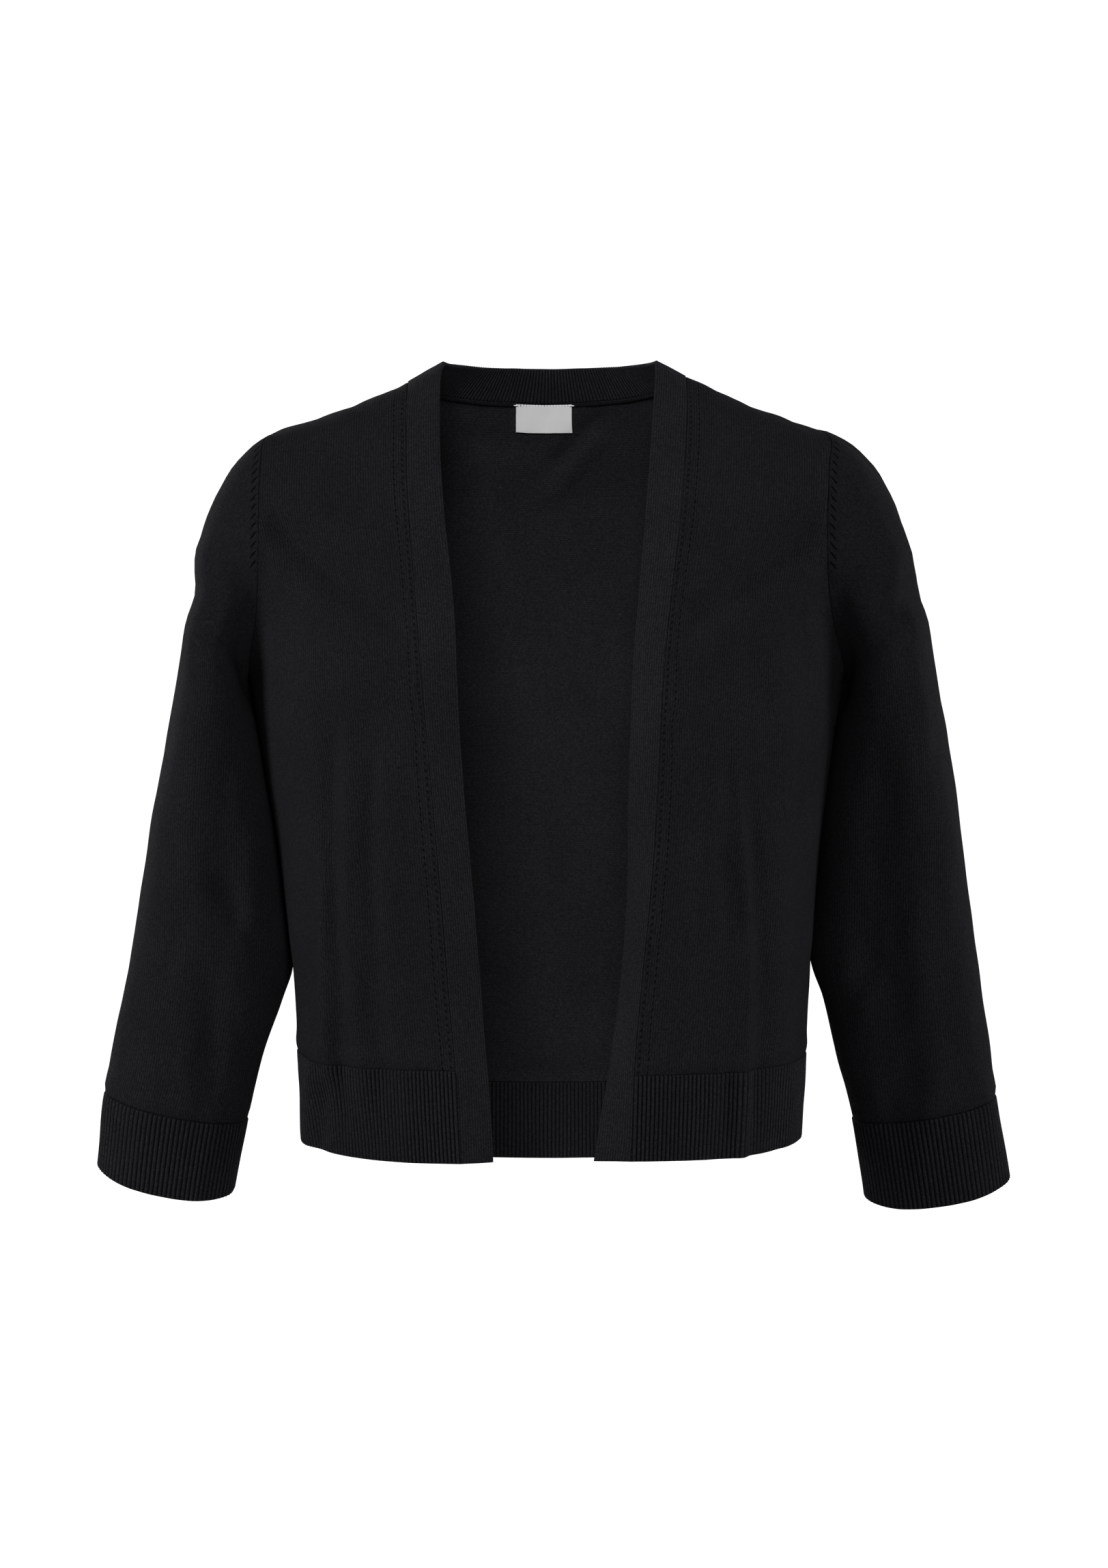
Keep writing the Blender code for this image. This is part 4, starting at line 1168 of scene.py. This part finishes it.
class Nodes:
    """Small helper that adds and joins shader nodes."""

    def __init__(self, tree):
        self.tree = tree

    def add(self, kind, **values):
        """Add one node and set its named properties."""
        node = self.tree.nodes.new(kind)
        for key, value in values.items():
            setattr(node, key, value)
        return node

    def feed(self, socket, value):
        """Join a socket to another, or give it a number."""
        if isinstance(value, Value):
            value = value.socket
        if isinstance(value, bpy.types.NodeSocket):
            self.tree.links.new(value, socket)
        else:
            socket.default_value = value

    def fill(self, node, **values):
        """Feed several sockets of a node by name, with _ for each space."""
        for name, value in values.items():
            self.feed(node.inputs[name.replace("_", " ")], value)

    def math(self, operation, first, second=None):
        """Math node."""
        node = self.add("ShaderNodeMath", operation=operation)
        self.feed(node.inputs[0], first)
        if second is not None:
            self.feed(node.inputs[1], second)
        return Value(self, node.outputs[0])

    def places(self, name):
        """The two values of a layer of places in millimetres."""
        split = self.add("ShaderNodeSeparateXYZ")
        self.feed(split.inputs[0], self.add("ShaderNodeUVMap", uv_map=name).outputs["UV"])
        return Value(self, split.outputs["X"]), Value(self, split.outputs["Y"])

    def noise(self, place, scale, detail):
        """Value of a noise of one size."""
        node = self.add("ShaderNodeTexNoise", noise_dimensions="3D")
        self.fill(node, Vector=place, Scale=scale, Detail=detail)
        return Value(self, node.outputs["Fac"])

    def paint(self, shader, colour, tone):
        """Base colour made lighter or darker by a value."""
        node = self.add("ShaderNodeVectorMath", operation="SCALE")
        self.feed(node.inputs[0], colour)
        self.fill(node, Scale=tone)
        self.fill(shader, Base_Color=node.outputs[0])

    def bump(self, shader, strength, distance, height):
        """Bump from a height."""
        node = self.add("ShaderNodeBump")
        self.fill(node, Strength=strength, Distance=distance * MM, Height=height)
        self.fill(shader, Normal=node.outputs["Normal"])


def new_material(name):
    """Empty node material with its shader and output."""
    material = bpy.data.materials.new(name)
    material.use_nodes = True
    tree = material.node_tree
    tree.nodes.clear()
    nodes = Nodes(tree)
    shader = nodes.add("ShaderNodeBsdfPrincipled")
    output = nodes.add("ShaderNodeOutputMaterial")
    tree.links.new(shader.outputs["BSDF"], output.inputs["Surface"])
    return material, nodes, shader


def from_middle(value):
    """Part of a turn counted from its middle."""
    return value.math("FRACT") - 0.5


def loop_legs(a, b, lean):
    """Height of the two slanting legs of each knitted loop in wale a and course b."""
    off = abs(from_middle(a))
    loop = ((b + off * lean) * TURN).math("COSINE")
    legs = abs((a * TURN).math("SINE")) ** 0.6
    return legs * (loop * 0.38 + 0.62), off


def stitch_height(u, v, kind, wale, course):
    """Height of knitted loops: plain face, purl reverse, rib or close double knit."""
    a, b = u / wale, v / course
    if kind == "plain":
        legs, off = loop_legs(a, b, 1.5)
        return (legs * 0.55 + 0.45) * off.spread(0.2, 0.5, 1.0, 0.0)
    if kind == "rib":
        legs, off = loop_legs(a, b, 1.9)
        return (legs * 0.45 + 0.55) * off.spread(0.14, 0.46, 1.0, 0.0)
    if kind == "purl":
        shift = (a * TURN).math("COSINE") * 0.22
        return ((b + shift) * TURN).math("COSINE") * 0.5 + 0.5
    knop = ((b + a.math("FLOOR") * 0.5) * TURN).math("COSINE") * 0.28 + 0.72
    return knop * (1.0 - (abs(from_middle(a)) * 2.0) ** 1.6)


def cloth_material(name, share, knit, dents=None):
    """Knitted cloth with loops painted lighter on top and darker between them as painted shade, hairy
    sheen, slow colour changes and a few specks; share makes the black lighter or darker.
    """
    kind, wale, course, depth, loop_shade = knit
    material, nodes, shader = new_material(name)
    u, v = nodes.places("cloth_mm")
    place = nodes.add("ShaderNodeTexCoord").outputs["Object"]

    shift = (nodes.noise(place, *WOBBLE) - 0.5) * (0.45 * wale)
    if kind == "rib":
        shift = shift * 0.25
    height = stitch_height(u + shift, v, kind, wale, course)
    fuzz = nodes.noise(place, *FUZZ)
    loops = nodes.noise(place, *LOOPS)
    cloud = nodes.noise(place, *CLOUD)

    # The loops' height is painted into the colour too: lighter on the loops, darker between them, as
    # painted shade
    tone = height * loop_shade + (1.0 - 0.5 * loop_shade)
    tone = tone * (fuzz.spread(0.3, 0.72, 0.74, 1.32) * loops.spread(0.3, 0.7, 0.82, 1.18))
    tone = tone * cloud.spread(0.3, 0.7, 0.94, 1.07)
    # Holes and marks are pressed into the bump and painted darker: painted shade inside them
    if dents is not None:
        mask = dents(nodes, u, v)
        tone = tone * (1.0 - mask * DENT_PAINTED_SHADE)
        height = height - mask * DENT_DEPTH
    nodes.paint(shader, tuple(value * share for value in BLACK), tone + lint(nodes, place) * LINT_TONE)
    nodes.bump(shader, 0.8, depth, height + fuzz * 0.7)
    nodes.fill(shader, Roughness=0.9, Specular_IOR_Level=0.02)
    nodes.fill(shader, Sheen_Weight=0.012, Sheen_Roughness=0.5, Sheen_Tint=(0.9, 0.92, 1.0, 1.0))
    return material


def lint(nodes, place):
    """Mask of a few small pale specks of lint."""
    specks = nodes.add("ShaderNodeTexVoronoi", feature="F1")
    nodes.fill(specks, Vector=place, Scale=LINT_SCALE)
    chosen = nodes.add("ShaderNodeSeparateColor")
    nodes.feed(chosen.inputs[0], specks.outputs["Color"])
    rare = nodes.math("GREATER_THAN", chosen.outputs[0], LINT_RARE)
    size = nodes.math("SUBTRACT", chosen.outputs[1], LINT_SIZE[0]) * LINT_SIZE[1]
    return nodes.math("LESS_THAN", specks.outputs["Distance"], size) * rare


def spot(across, along, halves, low, high):
    """Mask of an oval spot with a soft edge."""
    wide, long = (value / half for value, half in zip((across, along), halves))
    return (wide**2.0 + long**2.0).spread(low, high, 1.0, 0.0)


def hole_rows(nodes, u, v):
    """Mask of the two rows of small slanted holes beside the band seam."""
    spots = []
    for line in HOLE_LINES:
        along = from_middle((v + line * 1.7) / HOLE_PITCH) * HOLE_PITCH
        aside = abs(u) - line - along * HOLE_LEAN
        spots.append(spot(aside, along, HOLE_HALF, 0.45, 1.25))
    return spots[0].math("MAXIMUM", spots[1]) * HOLE_SHADE_AND_DEPTH


def fashioning_marks(nodes, u, v):
    """Mask of the slanted marks that run along the sleeve side of the armhole."""
    x, y = nodes.places("seam_mm")
    along = abs(x)
    away = y - MARK_AWAY
    reach = along.math("GREATER_THAN", MARK_REACH[0]) * along.math("LESS_THAN", MARK_REACH[1])
    slant = from_middle(along / MARK_PITCH) * MARK_PITCH - away * MARK_LEAN
    return spot(slant, away, MARK_HALF, 0.4, 1.2) * reach


def satin_material(name):
    """White woven satin with fine diagonal threads."""
    material, nodes, shader = new_material(name)
    u, v = nodes.places("cloth_mm")
    across, along, straight = SATIN_THREADS
    thread = ((u * across + v * along) * TURN).math("SINE")
    cross = (v * (TURN * straight)).math("SINE")
    weave = (thread + cross) * 0.5
    # The threads also paint the white a little darker between them: painted shade
    nodes.paint(shader, SATIN, weave * 0.025 + 0.965)
    nodes.bump(shader, 0.35, 0.08, weave)
    nodes.fill(shader, Roughness=0.42, Specular_IOR_Level=0.4)
    return material


# ---- pieces ----
def add_piece(mesh, materials, node, grid):
    """Object that rides on the part and stands for its node, whose solid is hidden."""
    thing = bpy.data.objects.new(mesh.name, mesh)
    bpy.context.scene.collection.objects.link(thing)
    for material in materials:
        thing.data.materials.append(material)
    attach(thing, "root")
    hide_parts(node)
    cross = np.cross(grid[1:, 1:] - grid[:-1, :-1], grid[1:, :-1] - grid[:-1, 1:])


def build_garment():
    """Make every piece of the garment."""
    grids, normals = body_surfaces()
    plain = cloth_material("knit_face", 1.0, PLAIN)
    front = cloth_material("knit_front", 1.0, PLAIN, hole_rows)
    sleeve = cloth_material("knit_sleeve", 1.0, PLAIN, fashioning_marks)
    # The reverse is painted lighter than the face (share 1.28): painted light on the inside faces that
    # the opening shows
    purl = cloth_material("knit_reverse_painted_light", 1.28, PURL)
    rib = cloth_material("knit_rib", 1.0, RIB)
    # The inside of the back hem rib is painted a little lighter than the rib (share 1.04): painted light
    rib_back = cloth_material("knit_rib_inside_painted_light", 1.04, RIB)
    # The inside of the neck rib and its seam roll are painted darker than the rib (share 0.82): painted
    # shade
    rib_neck = cloth_material("knit_rib_neck_painted_shade", 0.82, RIB)
    # The bands are painted lighter than the panels (share 1.22): painted light for bands turned towards
    # the lamps
    band = cloth_material("knit_band", 1.22, DOUBLE)
    satin = satin_material("label_satin")
    panel_rows, hem_rows = slice(RIB_LINE, None), slice(RIB_LINE + 1)
    tube_rows, cuff_rows = slice(CUFF_LINE + 1), slice(CUFF_LINE, None)

    for side in SIDES:
        parts = ("front", "hem", "band", "sleeve", "cuff")
        names = {part: "knit_" + part + "_" + side for part in parts}
        grid, facing = grids["front_" + side], normals["front_" + side]
        sign = GRID_SIGNS["front_" + side]
        panel, hem = grid[panel_rows], grid[hem_rows]
        uv = cloth_uv(panel, -1)
        mesh = cloth_wall(names["front"], panel, facing[panel_rows], sign, PANEL_WALL, uv, (0, 1))
        add_piece(mesh, (front, purl), "front_" + side, panel)
        mesh = rib_wall(names["hem"], "front", hem, facing[hem_rows], sign, (0, 0))
        add_piece(mesh, (rib,), "hem_rib_" + side, hem)

        strip, facing = grids["band_" + side], normals["band_" + side]
        mesh = cloth_wall(names["band"], strip, facing, sign, BAND_WALL, cloth_uv(strip, -1), (0, 0))
        add_piece(mesh, (band,), "band_" + side, strip)

        grid, facing = grids["sleeve_" + side], normals["sleeve_" + side]
        tube, cuff = grid[tube_rows], grid[cuff_rows]
        uv, seam_uv = cloth_uv(tube, tube.shape[1] // 2, True), sleeve_seam_uv(tube)
        mesh = cloth_wall(
            names["sleeve"], tube, facing[tube_rows], sign, PANEL_WALL, uv, (0, 1), seam_uv=seam_uv
        )
        add_piece(mesh, (sleeve, purl), "sleeve_" + side, tube)
        mesh = rib_wall(names["cuff"], "cuff", cuff, facing[cuff_rows], sign, (0, 0))
        add_piece(mesh, (rib,), "cuff_" + side, cuff)

    grid, facing = grids["back"], normals["back"]
    panel, hem = grid[panel_rows], grid[hem_rows]
    uv = cloth_uv(panel, panel.shape[1] // 2)
    mesh = cloth_wall("knit_back", panel, facing[panel_rows], -1.0, PANEL_WALL, uv, (0, 1))
    add_piece(mesh, (plain, purl), "back", panel)
    mesh = rib_wall("knit_hem_back", "back", hem, facing[hem_rows], -1.0, (0, 1))
    add_piece(mesh, (rib, rib_back), "hem_rib_back", hem)

    collar, facing = grids["neck"], normals["neck"]
    mesh = rib_wall("knit_neck", "neck", collar, facing, -1.0, (0, 1))
    ends = slice(ROLL_ENDS, -ROLL_ENDS)
    low = collar[0] - facing[0] * ROLL_DEPTH - (0.0, 0.0, ROLL_DROP)
    mesh = with_parts(mesh, [seam_roll("roll", low[ends], -facing[0][ends], 1, **ROLL_SIZES)])
    add_piece(mesh, (rib, rib_neck), "neck_rib", collar)
    build_label(grids["back"][:, NECKLINE], satin)


def build_label(middle, satin):
    """Bare label inside the back neck, with a tack at each upper corner."""
    across = np.linspace(*LABEL_ACROSS, LABEL_POINTS[0])
    rows = np.linspace(*LABEL_ROWS, LABEL_POINTS[1])
    lines = read_lines(middle, np.interp(rows, ROWS, np.arange(len(ROWS))), 0)
    tag = np.array([read_line(line, line[:, 0], across) for line in lines])
    facing = grid_normals(tag, -1.0)
    tag = tag - facing * (PANEL_WALL + LABEL_CLEARANCE)
    mesh = cloth_wall("neck_label", tag, facing, -1.0, LABEL_WALL, cloth_uv(tag, 0), (0, 0))
    tacks = []
    for column in (0, -1):
        corner = tag[-1, column] - facing[-1, column] * LABEL_WALL
        outer = unit(tag[-1, column] - tag[-1, len(across) // 2])
        reach = np.linspace(-TACK_LENGTH, TACK_LENGTH, TACK_POINTS)
        line = corner + np.outer(reach, outer) - (0.0, 0.0, TACK_DROP)
        out = np.tile(-facing[-1, column], (TACK_POINTS, 1))
        tacks.append(seam_roll("tack", line, out, 0, **TACK_SIZES))
    add_piece(with_parts(mesh, tacks), (satin,), "label", tag)


# ---- studio ----
CAMERA_PLACE = (0.0029, -2.6, -0.27945)
PHOTO_HEIGHT = 2296
FOCAL_PIXELS = 5778.0
SENSOR = 36.0
FLOOR_LEVEL = -0.95

# Half outline of the round studio: distance from the middle, height over the floor
ROOM_OUTLINE = (
    (0.0, 0.0), (2.5, 0.0), (5.0, 0.0), (5.8, 0.15), (6.3, 0.6), (6.5, 1.4), (6.5, 4.0), (6.0, 6.5)
)
ROOM_STEPS = 48

# Lamps: name, place, aimed at, side of the square, watts
LAMPS = (
    ("side_left", (-3.5, -1.3, 0.5), (0.0, 0.0, -0.28), 1.1, 88.0),
    ("side_right", (3.5, -1.3, 0.5), (0.0, 0.0, -0.28), 1.4, 58.0),
    ("front", (0.7, -3.4, 0.3), (0.0, 0.0, -0.32), 0.9, 31.0),
    ("front_right", (0.5, -3.4, 0.2), (0.25, 0.0, -0.42), 0.9, 20.0),
    ("front_left", (0.9, -3.3, 0.2), (-0.25, 0.0, -0.35), 0.9, 11.0),
    ("inside", (-0.25, -2.8, 1.3), (0.0, 0.1, -0.02), 1.1, 72.0),
    ("rear_left", (-2.4, 2.6, 1.0), (0.0, 0.0, -0.28), 1.2, 72.0),
    ("rear_right", (2.8, 2.0, 0.7), (0.0, 0.0, -0.28), 1.4, 40.0),
)
# Pieces that a lamp is flagged to reach, where it doesn't reach them all
REACHED = {
    "front": ["knit_" + part + "_" + side for part in ("front", "hem", "band") for side in SIDES]
    + ["knit_sleeve_left", "knit_cuff_left"],
    "front_left": ["knit_sleeve_left", "knit_cuff_left"],
    "front_right": ["knit_sleeve_right", "knit_cuff_right"],
    "inside": ["knit_back", "knit_hem_back", "knit_neck", "neck_label"],
}
AMBIENT = 0.15


def build_room():
    """Pale round studio whose floor and wall are one swept surface."""
    turn = np.linspace(0.0, TURN, ROOM_STEPS, endpoint=False)
    points = [(0.0, 0.0, FLOOR_LEVEL)]
    for reach, height in ROOM_OUTLINE[1:]:
        points += [(reach * math.cos(a), reach * math.sin(a), FLOOR_LEVEL + height) for a in turn]
    faces = [(0, 1 + i, 1 + (i + 1) % ROOM_STEPS) for i in range(ROOM_STEPS)]
    for ring in range(len(ROOM_OUTLINE) - 2):
        low = 1 + ring * ROOM_STEPS
        for i in range(ROOM_STEPS):
            after = (i + 1) % ROOM_STEPS
            faces.append((low + i, low + ROOM_STEPS + i, low + ROOM_STEPS + after, low + after))
    mesh = bpy.data.meshes.new("studio_room")
    mesh.from_pydata(points, [], faces)
    mesh.shade_smooth()
    room = bpy.data.objects.new("studio_room", mesh)
    bpy.context.scene.collection.objects.link(room)
    material, nodes, shader = new_material("studio_white")
    nodes.fill(shader, Base_Color=(0.85, 0.85, 0.85, 1.0), Roughness=1.0, Specular_IOR_Level=0.0)
    nodes.fill(shader, Emission_Color=(1.0, 1.0, 1.0, 1.0), Emission_Strength=1.0)
    room.data.materials.append(material)
    room.visible_diffuse = False
    room.visible_glossy = False
    room.visible_shadow = False


def build_lamps(scene):
    """Soft square lamps, some of them flagged to a few pieces."""
    for name, place, target, size, power in LAMPS:
        data = bpy.data.lights.new(name, "AREA")
        data.shape = "SQUARE"
        data.size = size
        data.energy = power
        lamp = bpy.data.objects.new(name, data)
        lamp.location = place
        lamp.rotation_euler = (Vector(target) - Vector(place)).to_track_quat("-Z", "Y").to_euler()
        lamp.visible_camera = False
        scene.collection.objects.link(lamp)
        if name in REACHED:
            reached = bpy.data.collections.new(name + "_pieces")
            for piece in REACHED[name]:
                reached.objects.link(bpy.data.objects[piece])
            lamp.light_linking.receiver_collection = reached


def build_studio():
    """Room, lamps, air and camera."""
    scene = bpy.context.scene
    build_room()
    world = bpy.data.worlds.new("studio_air")
    world.use_nodes = True
    world.node_tree.nodes["Background"].inputs["Color"].default_value = (1.0, 1.0, 1.0, 1.0)
    world.node_tree.nodes["Background"].inputs["Strength"].default_value = AMBIENT
    scene.world = world
    build_lamps(scene)

    data = bpy.data.cameras.new("camera")
    data.sensor_fit = "VERTICAL"
    data.sensor_height = SENSOR
    data.lens = FOCAL_PIXELS / PHOTO_HEIGHT * SENSOR
    data.clip_end = 30.0
    camera = bpy.data.objects.new("camera", data)
    camera.location = CAMERA_PLACE
    camera.rotation_euler = (0.5 * math.pi, 0.0, 0.0)
    scene.collection.objects.link(camera)
    scene.camera = camera
    scene.view_settings.view_transform = "Standard"
    scene.view_settings.look = "None"


build_garment()
build_studio()

bpy.context.view_layer.update()
